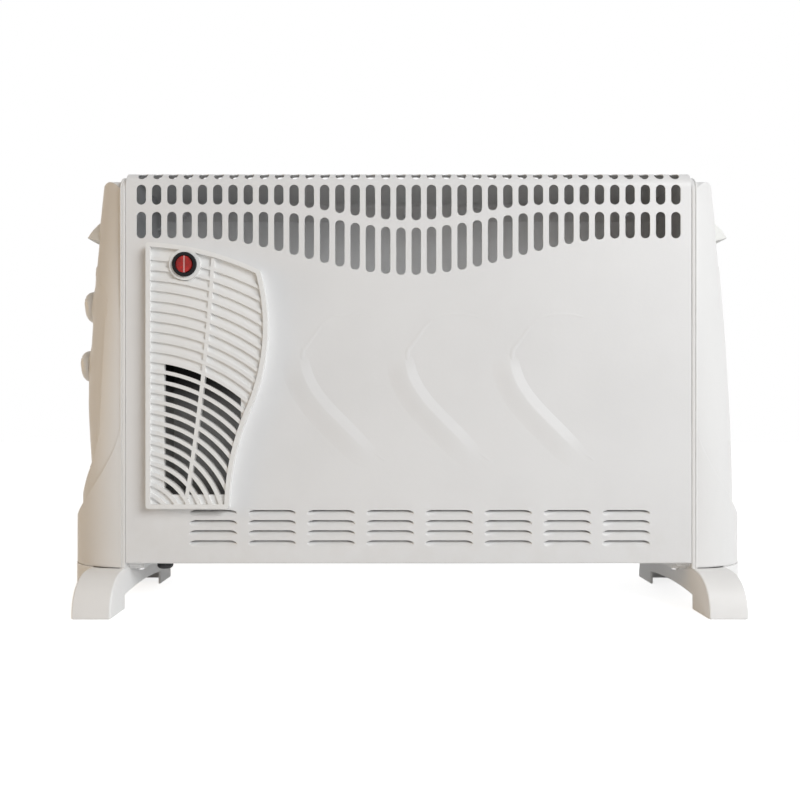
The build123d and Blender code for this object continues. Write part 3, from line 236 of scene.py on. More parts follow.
class Finish(Tree):
    """A material under construction, with its surface shader and the place on the object."""

    def __init__(self, name, roughness=0.5, metallic=0.0, **constants):
        self.material = bpy.data.materials.new(name)
        self.material.use_nodes = True
        super().__init__(self.material.node_tree)
        self.surface = self.node("ShaderNodeBsdfPrincipled")
        self.output = self.node("ShaderNodeOutputMaterial", {}, {"Surface": self.surface.outputs[0]})
        self.surface.inputs["Roughness"].default_value = roughness
        self.surface.inputs["Metallic"].default_value = metallic
        for socket, value in constants.items():
            self.surface.inputs[socket.replace("_", " ")].default_value = value
        self.place = self.node("ShaderNodeTexCoord").outputs["Object"]

    def stretched(self, scale):
        """The place on the object, stretched along its axes."""
        return self.node("ShaderNodeMapping", {}, {"Vector": self.place, "Scale": scale}).outputs["Vector"]

    def noise(self, scale, detail=2.0, roughness=0.5, where=None):
        """Smooth noise with so many lumps to the metre."""
        made = self.node("ShaderNodeTexNoise", {}, {
            "Vector": where or self.place, "Scale": scale, "Detail": detail, "Roughness": roughness})
        return Signal(self, made.outputs["Fac"])

    def cells(self, scale, output):
        """Cells with so many to the metre: the distance to their middles or their own colour."""
        made = self.node("ShaderNodeTexVoronoi", {}, {"Vector": self.place, "Scale": scale})
        return made.outputs[output]

    def axis(self, letter):
        """One coordinate of the place on the object."""
        made = self.node("ShaderNodeSeparateXYZ", {}, {0: self.place})
        return Signal(self, made.outputs[letter])

    def facing(self, letter):
        """One coordinate of the direction that the surface faces."""
        shape = self.node("ShaderNodeNewGeometry")
        made = self.node("ShaderNodeSeparateXYZ", {}, {0: shape.outputs["Normal"]})
        return Signal(self, made.outputs[letter])

    def blend(self, share, first, second):
        """A mix of two colours."""
        made = self.node(
            "ShaderNodeMix", {"data_type": "RGBA"},
            {"Factor": share, "A": colour(first), "B": colour(second)})
        return made.outputs["Result"]

    def bumps(self, height, distance, after=None):
        """Turns a height into a normal; a second one can go on top of the first."""
        inputs = {"Height": height, "Distance": distance, "Strength": 1.0}
        if after is not None:
            inputs["Normal"] = after
        return self.node("ShaderNodeBump", {}, inputs).outputs["Normal"]

    def finished(self, base, roughness, normal):
        """Feeds the surface shader and hands over the material."""
        for socket, value in (("Base Color", base), ("Roughness", roughness), ("Normal", normal)):
            self.feed(self.surface.inputs[socket], value)
        return self.material


def colour(value):
    """A colour's three numbers with full alpha, or a socket as it is."""
    if isinstance(value, (bpy.types.NodeSocket, Signal)):
        return value
    return (*value[:3], 1.0)


def shade(tint, factor):
    """A colour made darker or lighter."""
    return tuple(min(part * factor, 1.0) for part in tint[:3])


def powder_coat(name, tint):
    """Baked powder: orange peel, a faint cloudy tone and dust that has settled low down and on top."""
    dust_full, dust_gone = 0.043, 0.13
    finish = Finish(name, Coat_Weight=0.12, Coat_Roughness=0.22)
    cloud = finish.noise(9.0, 3.0)
    fine = finish.noise(420.0, 2.0)
    low_down = 1.0 - finish.axis("Z").step(dust_full, dust_gone)
    dusty = low_down * 0.14 + finish.facing("Z").step(0.5, 1.0) * 0.12
    base = finish.blend(cloud.step(0.35, 0.7), tint, shade(tint, 0.965))
    base = finish.blend(dusty * finish.noise(60.0, 4.0).step(0.35, 0.75), base, (0.62, 0.59, 0.54))
    peel = finish.noise(260.0, 2.0, 0.55)
    normal = finish.bumps(peel, 0.00006)
    normal = finish.bumps(finish.noise(1600.0, 1.0), 0.000012, normal)
    return finish.finished(base, 0.36 + fine * 0.08 + dusty * 0.10, normal)


def moulded(name, tint, gloss, grain=0.00004, level=0.5):
    """Moulded plastic: a fine eroded grain, slow changes of tone from the flow and uneven gloss."""
    finish = Finish(name, Specular_IOR_Level=level)
    flow = finish.noise(14.0, 3.0, 0.6, finish.stretched((1.0, 1.0, 0.45)))
    base = finish.blend(flow.step(0.3, 0.75), tint, shade(tint, 0.96))
    base = finish.blend(finish.noise(700.0, 2.0).step(0.62, 0.8) * 0.35, base, shade(tint, 0.9))
    normal = finish.bumps(finish.cells(1500.0, "Distance"), grain)
    normal = finish.bumps(finish.noise(110.0, 2.0), 0.00008, normal)
    return finish.finished(base, gloss + finish.noise(35.0, 3.0) * 0.12, normal)


def rocker_plastic(name, tint, middle):
    """See-through red plastic: dark blotches from the lamp holder behind it, and a painted highlight as a
    pale upright line down its crest.
    """
    finish = Finish(name, Specular_IOR_Level=0.4)
    across = (finish.axis("X") - middle).size()
    # Half widths of the painted highlight down the crest: where it is full and where it has faded out.
    crest, past_crest = 0.0002, 0.0011
    centre, rim = 0.003, 0.007
    blotch = finish.noise(260.0, 2.0, 0.6).step(0.35, 0.65)
    dark = blotch * 0.7 + across.step(centre, rim) * 0.5
    base = finish.blend(dark, shade(tint, 1.35), shade(tint, 0.55))
    # Painted highlight: a pale upright line down the middle of the rocker.
    base = finish.blend((1.0 - across.step(crest, past_crest)) * 0.75, base, (0.80, 0.50, 0.50))
    return finish.finished(base, 0.22 + blotch * 0.12, finish.bumps(blotch, 0.00004))


def zinc_sheet(name):
    """Hot-dip zinc: spangle cells with their own tone, rolling lines and white bloom in places."""
    finish = Finish(name, metallic=0.5)
    tone = finish.node("ShaderNodeSeparateColor", {}, {0: finish.cells(85.0, "Color")})
    cell = Signal(finish, tone.outputs["Red"])
    lines = finish.noise(500.0, 2.0, 0.6, finish.stretched((0.02, 1.0, 1.0)))
    bloom = finish.noise(30.0, 4.0).step(0.55, 0.75)
    base = finish.blend(cell * 0.7 + lines * 0.3, (0.50, 0.52, 0.54), (0.66, 0.67, 0.68))
    base = finish.blend(bloom * 0.5, base, (0.72, 0.72, 0.71))
    normal = finish.bumps(lines, 0.00001)
    return finish.finished(base, 0.34 + cell * 0.12 + bloom * 0.2, normal)


def duct_sheet(name):
    """The duct behind the grille: bare grey sheet below, painted shade going to black above, and faint
    flow marks.
    """
    shade_starts, shade_black_from = 0.186, 0.222
    finish = Finish(name, metallic=0.3)
    # Painted shade: the sheet goes to black towards the top, where the inside of the duct lies in shade.
    black = finish.axis("Z").step(shade_starts, shade_black_from)
    marks = finish.noise(60.0, 3.0, 0.6, finish.stretched((1.0, 1.0, 0.25)))
    base = finish.blend(marks, (0.34, 0.34, 0.345), (0.46, 0.46, 0.46))
    base = finish.blend(black, base, (0.006, 0.006, 0.006))
    return finish.finished(base, 0.5 + marks * 0.2, finish.bumps(marks, 0.00002))


def plated(name, tint):
    """Plated or polished metal: fine turning lines, a slight tarnish and worn high spots."""
    finish = Finish(name, metallic=1.0)
    lines = finish.noise(2200.0, 1.0)
    stain = finish.noise(180.0, 4.0, 0.6).step(0.45, 0.8)
    base = finish.blend(stain, tint, shade(tint, 0.72))
    normal = finish.bumps(lines, 0.000008)
    return finish.finished(base, 0.24 + stain * 0.2 + lines * 0.06, normal)


def heat_tinted(name):
    """Heater steel: straw, brown and blue tints in bands along the length, with scale between them."""
    finish = Finish(name, metallic=0.9)
    band = finish.noise(24.0, 3.0, 0.55, finish.stretched((1.0, 0.3, 0.3)))
    scale = finish.noise(600.0, 3.0, 0.65)
    base = finish.blend(band.step(0.35, 0.5), (0.30, 0.26, 0.20), (0.24, 0.17, 0.12))
    base = finish.blend(band.step(0.5, 0.68), base, (0.14, 0.15, 0.19))
    base = finish.blend(scale.step(0.55, 0.75) * 0.6, base, (0.10, 0.09, 0.08))
    return finish.finished(base, 0.38 + scale * 0.25, finish.bumps(scale, 0.00003))


def laminated(name):
    """Stacked motor sheet: thin dark lines across the stack and a varnish gone uneven."""
    finish = Finish(name, metallic=0.7)
    wave = finish.node(
        "ShaderNodeTexWave", {"bands_direction": "Y"},
        {"Vector": finish.place, "Scale": 260.0, "Distortion": 0.6, "Detail": 1.0})
    sheets = Signal(finish, wave.outputs["Fac"])
    varnish = finish.noise(120.0, 3.0)
    base = finish.blend(sheets, (0.10, 0.09, 0.08), (0.24, 0.22, 0.20))
    base = finish.blend(varnish.step(0.5, 0.8) * 0.5, base, (0.16, 0.09, 0.05))
    return finish.finished(base, 0.35 + varnish * 0.25, finish.bumps(sheets, 0.00004))


def fired_clay(name):
    """Unglazed ceramic: chalky, with small dark specks and pinholes."""
    finish = Finish(name)
    cloud = finish.noise(90.0, 3.0)
    specks = finish.noise(1500.0, 2.0).step(0.66, 0.74)
    base = finish.blend(cloud, (0.84, 0.81, 0.75), (0.76, 0.72, 0.65))
    base = finish.blend(specks * 0.6, base, (0.42, 0.36, 0.30))
    return finish.finished(base, 0.75 + cloud * 0.15, finish.bumps(finish.noise(900.0, 3.0), 0.00004))


# Settings
def length(name, description, default):
    """A size in metres."""
    return FloatProperty(name=name, description=description, default=default, unit="LENGTH", precision=5)


def tint(name, description, default):
    """A colour."""
    return FloatVectorProperty(
        name=name, description=description, default=default, subtype="COLOR", size=3, min=0.0, max=1.0)


def lamp_power(name, description, default):
    """A lamp's power in watts."""
    return FloatProperty(name=name, description=description, default=default, unit="POWER", min=0.0)


class HeaterShape(bpy.types.PropertyGroup):
    """Sizes of the pieces, the same as in the CAD frame."""

    case_half: length("Case half width", "Half the width of the steel case", 0.2685)
    flange_x: length("Cap root", "Where the cap's face starts, out from the middle", 0.274)
    half_depth: length("Half depth", "Half the depth of the case and of a cap's flange", 0.058)
    cap_bottom: length("Cap bottom", "Height of a cap's lower edge", 0.0385)
    cap_top: length("Cap top", "Height of a cap's flange", 0.413)
    cap_corner: length("Cap corner", "Radius of the flange's upper corners", 0.016)
    boot_reach: length("Boot reach", "How far the boot stands out from the case's side", 0.0645)
    boot_round: length("Boot round", "Radius of a boot's lower edge", 0.0015)
    boot_side: length("Boot edge at the sides", "Height of the boot's edge at the flange", 0.175)
    boot_centre: length("Boot edge at the middle", "Height of the boot's edge at the middle", 0.082)
    boot_power: FloatProperty(name="Boot curve", description="Power of the boot's edge", default=3.0)
    face_top: length("Face top", "Height of the cap's swelling face", 0.411)
    face_low: length("Even below", "Below this height the face keeps its reach", 0.100)
    face_high: length("High section", "Height at which the upper reach holds", 0.397)
    face_narrow: length("Narrows above", "Above this height the face gets less deep", 0.275)
    low_reach: length("Reach below", "How far the face stands out low down", 0.0532)
    high_reach: length("Reach above", "How far the face stands out high up", 0.0334)
    reach_power: FloatProperty(name="Lean", description="Power of the face's lean", default=1.6)
    low_depth: length("Half depth below", "Half the depth of the face low down", 0.0574)
    high_depth: length("Half depth above", "Half the depth of the face high up", 0.053)
    shoulder: length("Shoulder", "Radius of the face's upper edge", 0.0045)
    strip_gap: length("Strip gap", "Gap between the case and a cap's flange", 0.0005)
    strip: length("Strip", "Width of the pale strip against the case", 0.0052)
    groove: length("Groove", "Where the fine groove lies in the strip", 0.0034)
    groove_half: length("Groove half", "Half the width of that groove", 0.0005)
    groove_depth: length("Groove depth", "How deep the groove is", 0.0007)
    strip_round: length("Strip round", "Radius of the strip's long edges", 0.0006)
    pocket_half: length("Pocket half", "Half the length of a finger pocket", 0.030)
    pocket_low: length("Pocket bottom", "Height of a finger pocket's lower edge", 0.331)
    pocket_high: length("Pocket top", "Height of a finger pocket's upper edge", 0.361)
    pocket_floor: length("Pocket floor", "Where a pocket's floor lies, out from the middle", 0.2931)
    grip_reach: length("Grip reach", "How far a carrying lip stands out from the flange", 0.0505)
    grip_half: length("Grip half", "Half the depth of a carrying lip at its root", 0.036)
    grip_edge: length("Grip edge", "Height of a lip's outer edge at its middle", 0.3645)
    grip_rise: length("Grip rise", "How much higher a lip is where it leaves the cap", 0.0195)
    grip_droop: length("Grip droop", "How much lower the edge is at both ends", 0.012)
    grip_nose: length("Grip nose", "Half the thickness of the edge", 0.0007)
    grip_under: length("Grip underside", "Height of a lip's underside at the root", 0.361)
    panel_half: length("Panel half width", "Half the depth of the control panel", 0.051)
    panel_bottom: length("Panel bottom", "Lowest point of the control panel", 0.097)
    panel_top: length("Panel top", "Highest point of the control panel", 0.328)
    panel_low_round: length("Panel lower round", "Height of its lower rounded end", 0.082)
    panel_high_round: length("Panel upper round", "Height of its upper rounded end", 0.038)
    panel_crease: length("Panel crease", "Height of the faint crease across the panel", 0.196)
    panel_reach: length("Panel reach", "How far the crease stands out from the flange", 0.0474)
    panel_upper: FloatProperty(name="Upper lean", description="Lean above the crease", default=0.065)
    panel_lower: FloatProperty(name="Lower lean", description="Lean below the crease", default=0.062)
    panel_rim: length("Panel rim", "Width over which the panel rises to the cap", 0.007)
    knob_radius: length("Knob radius", "Radius of a knob", 0.016)
    knob_height: length("Knob height", "Height of a knob's middle above the panel", 0.0113)
    knob_rim: length("Knob rim", "Height of the dome's edge above the panel", 0.0026)
    knob_gap: length("Knob gap", "Gap between a knob and the panel", 0.0006)
    knob_mound: length("Knob mound", "Width over which the panel rises to a knob's seat", 0.013)
    knob_seat: length("Knob seat", "Radius of the flat seat under a knob", 0.0168)
    selector_z: length("Selector height", "Height of the upper control", 0.294)
    thermostat_z: length("Thermostat height", "Height of the lower control", 0.234)
    rocker_x: length("Rocker middle", "Place of the rocker's crest", -0.2104)
    foot_length: length("Foot half length", "Half the length of a foot", 0.100)
    foot_width: length("Foot width", "Width of a foot's leg", 0.0355)
    pad_length: length("Pad length", "Length of a pad on the floor", 0.041)
    pad_wall: length("Pad wall", "Height of a pad's inner wall", 0.0135)
    pad_hollow: length("Pad hollow", "Height of the hollow in a pad", 0.0125)
    pad_end: length("Pad end", "Half the length of the hollow", 0.094)
    foot_wall: length("Foot wall", "Thickness of a foot's long walls", 0.0025)
    arch_top: length("Arch top", "Height of the arch between the pads", 0.0165)
    foot_power: FloatProperty(name="Foot curve", description="Power of the toes' bend", default=2.4)
    saddle_low: length("Saddle bottom", "Lowest height of the part under the cap", 0.014)
    saddle_reach: length("Saddle reach", "How far it stands out from the cap's root", 0.059)
    foot_edge: length("Foot edge", "Radius of a foot's long edges", 0.0016)
    foot_corner: length("Foot corner", "Radius of a pad's corners on the floor", 0.0018)
    relief_last: length("Last relief", "Place of the rightmost relief", 0.0972)
    relief_pitch: length("Relief pitch", "Distance between two reliefs", 0.0995)
    relief_low: length("Relief low end", "Height of a relief's low end", 0.1414)
    relief_height: length("Relief height", "How far a relief stands out", 0.0013)
    relief_slope: length("Relief slope", "Half the width of its bright slope", 0.0049)
    relief_back: length("Relief back", "Width of its long back", 0.021)


class HeaterLook(bpy.types.PropertyGroup):
    """Colours of the surfaces, and the strength of the light."""

    case: tint("Case", "Powder coat of the steel case", (0.80, 0.80, 0.80))
    back: tint("Back", "Powder coat of the back panel", (0.90, 0.90, 0.90))
    cap: tint("Caps", "Moulded plastic of the caps", (0.80, 0.795, 0.785))
    foot: tint("Feet", "Moulded plastic of the feet", (0.88, 0.875, 0.865))
    grip: tint("Carrying lips", "Moulded plastic of the carrying lips", (0.83, 0.83, 0.80))
    grille: tint("Grille", "Moulded plastic of the fan grille", (0.86, 0.86, 0.85))
    knob: tint("Knobs", "Moulded plastic of the knobs", (0.83, 0.82, 0.80))
    black: tint("Black plastic", "Bezel, gland and fan scroll", (0.006, 0.006, 0.007))
    red: tint("Rocker", "Red plastic of the rocker", (0.40, 0.014, 0.012))
    nylon: tint("Nylon", "Control bodies and the terminal block", (0.72, 0.70, 0.64))
    floor: tint("Floor", "Plain floor under the heater", (0.8, 0.8, 0.8))
    world: FloatProperty(
        name="World", description="Strength of the even light from all round", default=0.18, min=0.0)
    key: lamp_power("Key lamp", "Power of the lamp at the right and in front", 61.0)
    warm: lamp_power("Warm lamp", "Power of the weak warm lamp at the left", 6.5)


# Shapes
def face_reach(shape, z):
    """How far a cap's face stands out from its flange at height z.

    The low reach, less the difference to the high one times the height's share to a power."""
    part = np.maximum(z - shape.face_low, 0.0) / (shape.face_high - shape.face_low)
    return shape.low_reach - (shape.low_reach - shape.high_reach) * part ** shape.reach_power


def face_depth(shape, z):
    """Half the depth of a cap's face at height z: even, and from some height on less and less."""
    part = np.maximum(z - shape.face_narrow, 0.0) / (shape.face_high - shape.face_narrow)
    return shape.low_depth - (shape.low_depth - shape.high_depth) * part


def face_x(shape, y, z):
    """Where a cap's face lies at depth y and height z: the root plus an arc of a circle."""
    return shape.flange_x + section_out(y, face_reach(shape, z), face_depth(shape, z))


def boot_edge(shape, y):
    """Height of the boot's edge at depth y.

    The height at the side, less the drop times a root of one less the depth's share squared."""
    part = np.clip(1.0 - (y / shape.half_depth) ** 2, 0.0, 1.0)
    return shape.boot_side - (shape.boot_side - shape.boot_centre) * part ** (1.0 / shape.boot_power)


def panel_outline(shape, count):
    """Points round the control panel: half an ellipse below and one above."""
    turn = np.linspace(0.0, 2.0 * math.pi, count, endpoint=False)
    low = shape.panel_bottom + shape.panel_low_round
    high = shape.panel_top - shape.panel_high_round
    upper = np.sin(turn) > 0.0
    tall = np.where(upper, shape.panel_high_round, shape.panel_low_round)
    return shape.panel_half * np.cos(turn), np.where(upper, high, low) + tall * np.sin(turn)


def inside_panel(shape, y, z):
    """Distance into the control panel's outline, about right near the edge.

    One less the ellipse's own radius at the point, times the smaller half width."""
    low = shape.panel_bottom + shape.panel_low_round
    high = shape.panel_top - shape.panel_high_round
    below = np.minimum(z - low, 0.0) / shape.panel_low_round
    above = np.maximum(z - high, 0.0) / shape.panel_high_round
    rise = below + above
    radius = np.sqrt((y / shape.panel_half) ** 2 + rise ** 2) + 1e-9
    tall = np.where(z < low, shape.panel_low_round, shape.panel_high_round)
    slope = np.sqrt((y / shape.panel_half ** 2) ** 2 + (rise / tall) ** 2) / radius + 1e-9
    return (1.0 - radius) / slope


def panel_x(shape, y, z):
    """Where the control panel's dished face lies: an arc whose reach falls away from the crease."""
    blunt = 0.012
    rise = z - shape.panel_crease
    size = np.sqrt(rise * rise + blunt * blunt) - blunt
    fall = np.where(rise > 0.0, shape.panel_upper, shape.panel_lower) * size
    return shape.flange_x + section_out(y, shape.panel_reach - fall, shape.low_depth)


def cap_skin(shape, opened):
    """Closed loops round a cap, stacked from its lower edge to its crown.

    Below the boot's edge a loop is half an ellipse and above it an arc of a circle, joined by a soft
    step; the crown is cut off by a quarter round. Rows follow the boot's edge up to the height where
    they get level. The finger pocket is a level floor between four steep walls. A cap that is opened
    for the control panel falls behind the panel a little way inside its outline."""
    brink, margin, ledge_half, level_from = 0.00025, 0.002, 0.0017, 0.2
    middle = np.sort(np.concatenate([np.linspace(-1.0, 1.0, 65), [-1.008, 1.008]]))
    outer = np.linspace(1.03, 2.0, 34)
    column = np.concatenate([-outer[::-1], middle, outer])

    ledge = np.linspace(-ledge_half, ledge_half, 9)
    crown = shape.face_top - shape.cap_corner * (1.0 - np.sin(np.linspace(0.0, math.pi / 2, 24)))
    low, high = shape.pocket_low, shape.pocket_high
    level = np.concatenate([
        np.linspace(level_from, low - 2 * brink, 130), [low - brink, low + brink],
        np.linspace(low + margin, high - margin, 10), [high - brink, high + brink],
        np.linspace(high + margin, crown[0] - margin, 12), crown])
    lower_share = np.concatenate([[0.0, 0.004, 0.012, 0.025], np.linspace(0.05, 0.985, 18)])
    upper_share = np.linspace(0.01, 0.99, 78)
    follow = np.concatenate([lower_share, np.ones(ledge.size), 1.0 - upper_share, np.zeros(level.size)])
    offset = np.concatenate([
        shape.cap_bottom * (1.0 - lower_share) + ledge[0] * lower_share, ledge,
        level_from * upper_share + ledge[-1] * (1.0 - upper_share), level])
    boot_share = np.concatenate([
        np.ones(lower_share.size), 1.0 - smooth_step(np.linspace(0.0, 1.0, ledge.size)),
        np.zeros(upper_share.size + level.size)])

    def spread(pocket_turn):
        """Turns of the columns: even over the pocket, and even again from its ends to the flange."""
        past = np.abs(column) - 1.0
        return np.where(past <= 0.0, column * pocket_turn,
                        np.sign(column) * (pocket_turn + past * (math.pi / 2 - pocket_turn)))

    edge_y = shape.half_depth * np.sin(spread(np.arcsin(shape.pocket_half / shape.low_depth)))
    z = follow[:, None] * boot_edge(shape, edge_y)[None, :] + offset[:, None]
    full_depth = face_depth(shape, z)
    depth = full_depth - quarter_round(shape.face_top - z, shape.cap_corner)
    turn = spread(np.arcsin(np.minimum(shape.pocket_half / depth, 0.999)))
    y = depth * np.sin(turn)
    reach = face_reach(shape, z)
    x = shape.flange_x + np.minimum(
        section_out(y, reach, full_depth), reach - quarter_round(shape.face_top - z, shape.shoulder))
    in_pocket = (np.abs(column) <= 1.0)[None, :] & (z > low) & (z < high)
    x = np.where(in_pocket, shape.pocket_floor, x)
    if opened:
        lap, fall, behind = 0.0009, 0.0008, 0.004
        push = smooth_step((inside_panel(shape, y, z) - lap) / fall)
        x = x - push * (x - panel_x(shape, y, z) + behind)

    start_x, root = shape.flange_x - 0.0002, shape.case_half
    start = np.arccos((start_x - root) / shape.boot_reach)
    boot_turn = turn * start / (math.pi / 2)
    rounding = quarter_round(z - shape.cap_bottom, shape.boot_round)
    boot_x = root + (shape.boot_reach - rounding) * np.cos(boot_turn)
    boot_y = (shape.half_depth - rounding) * np.sin(boot_turn)
    part = boot_share[:, None]
    x, y = x + (boot_x - x) * part, y + (boot_y - y) * part

    wall_x, back_x = (np.full((z.shape[0], 1), value) for value in (start_x, root + 0.0001))
    edge, sunk = y[:, -1:] - 0.0004, y[:, -1:] - 0.0006
    last, first = z[:, -1:], z[:, :1]
    wall = along(
        np.concatenate([wall_x, wall_x, back_x, back_x, wall_x, wall_x], axis=1),
        np.concatenate([edge, sunk, sunk, -sunk, -sunk, -edge], axis=1),
        np.concatenate([last, last, last, first, first, first], axis=1))
    return loops(np.concatenate([along(x, y, z), wall], axis=1))


def strip_skin(shape):
    """The pale strip against the case: the flange's outline carried across its width.

    Its long edges are drawn in by a quarter round, and a groove falls in between as a cosine."""
    corner = np.linspace(0.0, math.pi / 2, 14)
    edge, top, low = shape.half_depth, shape.cap_top, shape.cap_bottom
    inner = edge - shape.cap_corner
    y = np.concatenate([[edge], inner + shape.cap_corner * np.cos(corner),
                        -inner - shape.cap_corner * np.sin(corner), [-edge]])
    z = np.concatenate([[low], top - shape.cap_corner * (1.0 - np.sin(corner)),
                        top - shape.cap_corner * (1.0 - np.cos(corner)), [low]])
    out_y = np.concatenate([[1.0], np.cos(corner), -np.sin(corner), [-1.0]])
    out_z = np.concatenate([[-0.5], np.sin(corner), np.cos(corner), [-0.5]])
    groove = shape.groove + shape.groove_half * np.linspace(-1.0, 1.0, 7)
    ends = shape.strip * np.array([0.0, 0.02, 0.06, 0.13, 0.87, 0.94, 0.98, 1.0])
    across = np.concatenate([ends[:4], groove, ends[4:]])
    from_end = np.minimum(across, shape.strip - across)
    near = np.clip((across - shape.groove) / shape.groove_half, -1.0, 1.0)
    drawn = quarter_round(from_end, shape.strip_round)
    drawn = drawn + shape.groove_depth * (1.0 + np.cos(math.pi * near)) / 2.0
    start = shape.case_half + shape.strip_gap
    x = np.broadcast_to((start + across)[:, None], (across.size, y.size))
    return lidded(along(
        x, y[None, :] - drawn[:, None] * out_y[None, :], z[None, :] - drawn[:, None] * out_z[None, :]))


def grip_skin(shape):
    """A carrying lip: a fin whose height falls off to a thin edge that droops at both ends.

    The share is the point's distance along the ray to the lip's half ellipse. The top stands above
    the edge by the rise times a power of the missing share; the edge is lower by the droop times
    the sine squared of the ray's angle; the underside is a smooth step from the edge to the root."""
    root, nose_start, leaves, power = 0.42, 0.985, 0.29, 0.67
    turn = np.linspace(-math.pi / 2, math.pi / 2, 84)[:, None]
    edge_z = shape.grip_edge - shape.grip_droop * np.sin(turn) ** 2
    top_share = np.linspace(root, nose_start, 26)
    nose = np.linspace(0.0, math.pi, 7)[1:-1]
    under_share = np.linspace(nose_start, root, 16)
    top = shape.grip_nose + edge_z + shape.grip_rise * (
        ((1.0 - top_share) / leaves) ** power - ((1.0 - nose_start) / leaves) ** power)
    tip = edge_z + shape.grip_nose * np.cos(nose)
    inward = (nose_start - under_share) / (nose_start - root)
    low = edge_z - shape.grip_nose
    under = low + (shape.grip_under - low) * smooth_step(1.6 * inward)
    shares = np.concatenate([top_share, nose_start + (1.0 - nose_start) * np.sin(nose), under_share])
    x = shape.flange_x + shape.grip_reach * np.cos(turn) * shares
    y = shape.grip_half * np.sin(turn) * shares
    return loops(along(x, y, np.concatenate([top, tip, under], axis=1)))


def panel_skin(shape):
    """The control panel: rings from its middle out to its edge, and down its outer wall.

    Near the edge the dished face rises softly to just below the cap's face, and round each knob it
    rises to the knob's flat seat."""
    below_cap, below_seat, edge_round = 0.0004, 0.0002, 0.0005
    wall_height, back_share, back_depth = 0.006, 0.9, 0.0035
    outer_y, outer_z = panel_outline(shape, 168)
    middle = (shape.panel_bottom + shape.panel_top) / 2
    share = np.concatenate([np.linspace(0.0, 0.8, 36)[1:], np.linspace(0.8, 1.0, 26)[1:]])[:, None]
    y = share * outer_y
    z = middle + share * (outer_z - middle)
    dish = panel_x(shape, y, z)
    for height in (shape.selector_z, shape.thermostat_z):
        off = (np.hypot(y, z - height) - shape.knob_radius) / shape.knob_mound
        plane = shape.flange_x + shape.panel_reach - shape.panel_upper * (z - shape.panel_crease)
        dish = dish + (plane - below_seat - dish) * (1.0 - smooth_step(off))
    near = smooth_step(1.0 - inside_panel(shape, y, z) / shape.panel_rim)
    face = face_x(shape, y, z) - below_cap
    edge = quarter_round((1.0 - share) * shape.panel_half, edge_round)
    wall_x = face_x(shape, outer_y, outer_z) - wall_height
    back_y, back_z = back_share * outer_y, middle + back_share * (outer_z - middle)
    return loops(np.concatenate([
        along(dish + (face - dish) * near - edge, y, z), along(wall_x, outer_y, outer_z)[None],
        along(panel_x(shape, back_y, back_z) - back_depth, back_y, back_z)[None]], axis=0))


def on_panel(shape, u, v, w, height):
    """Points set on the panel's leaning plane: u in depth, v up along it and w out of it."""
    lean = shape.panel_upper / math.hypot(1.0, shape.panel_upper)
    out = math.sqrt(1.0 - lean * lean)
    reach = shape.panel_reach - shape.panel_upper * (height - shape.panel_crease)
    x = shape.flange_x + reach + w * out - v * lean
    return along(x, u, height + w * lean + v * out)


def seat_skin(shape, height):
    """The flat round seat under a knob: a low turned disc with a rounded edge."""
    edge_round, bottom, cone = 0.0008, -0.006, -0.0075
    turn = np.linspace(0.0, 2.0 * math.pi, 96, endpoint=False)
    rounding = np.linspace(0.0, math.pi / 2, 6)
    radius = np.concatenate([
        [0.004, 0.012], shape.knob_seat - edge_round * (1.0 - np.sin(rounding)), [shape.knob_seat, 0.012]])
    w = np.concatenate([[0.0, 0.0], -edge_round * (1.0 - np.cos(rounding)), [bottom, cone]])
    return loops(on_panel(
        shape, radius[:, None] * np.cos(turn), radius[:, None] * np.sin(turn), w[:, None], height))


def knob_skin(shape, height):
    """A knob: a dome, fuller above than below, with two fine lines across it.

    Its height is the root of one less a power of the radius's share; each line is a bell-shaped dip."""
    line_places, line_depths, line_half, line_end = (0.0080, 0.0047), (0.0005, 0.00035), 0.0006, 0.001
    turn = np.linspace(0.0, 2.0 * math.pi, 240, endpoint=False)
    share = np.sin(np.linspace(0.02, 1.0, 64) * math.pi / 2)[:, None]
    radius = shape.knob_radius * share
    u, v = radius * np.cos(turn), radius * np.sin(turn)
    power = 3.0 + 4.0 * smooth_step((v + 0.004) / 0.012)
    dome = shape.knob_rim + (shape.knob_height - shape.knob_rim) * np.sqrt(1.0 - share ** power)
    lines = sum(depth * np.exp(-((v - place) / line_half) ** 2)
                for place, depth in zip(line_places, line_depths))
    w = dome - lines * smooth_step((shape.knob_radius - radius) / line_end)
    skirt = shape.knob_radius * np.array([1.0, 0.985, 0.9])[:, None]
    skirt_w = shape.knob_gap + np.array([0.0003, 0.0, 0.0])[:, None]
    local = np.concatenate([
        along(u, v, w), along(skirt * np.cos(turn), skirt * np.sin(turn), skirt_w)], axis=0)
    return loops(on_panel(shape, local[..., 0], local[..., 1], local[..., 2], height))


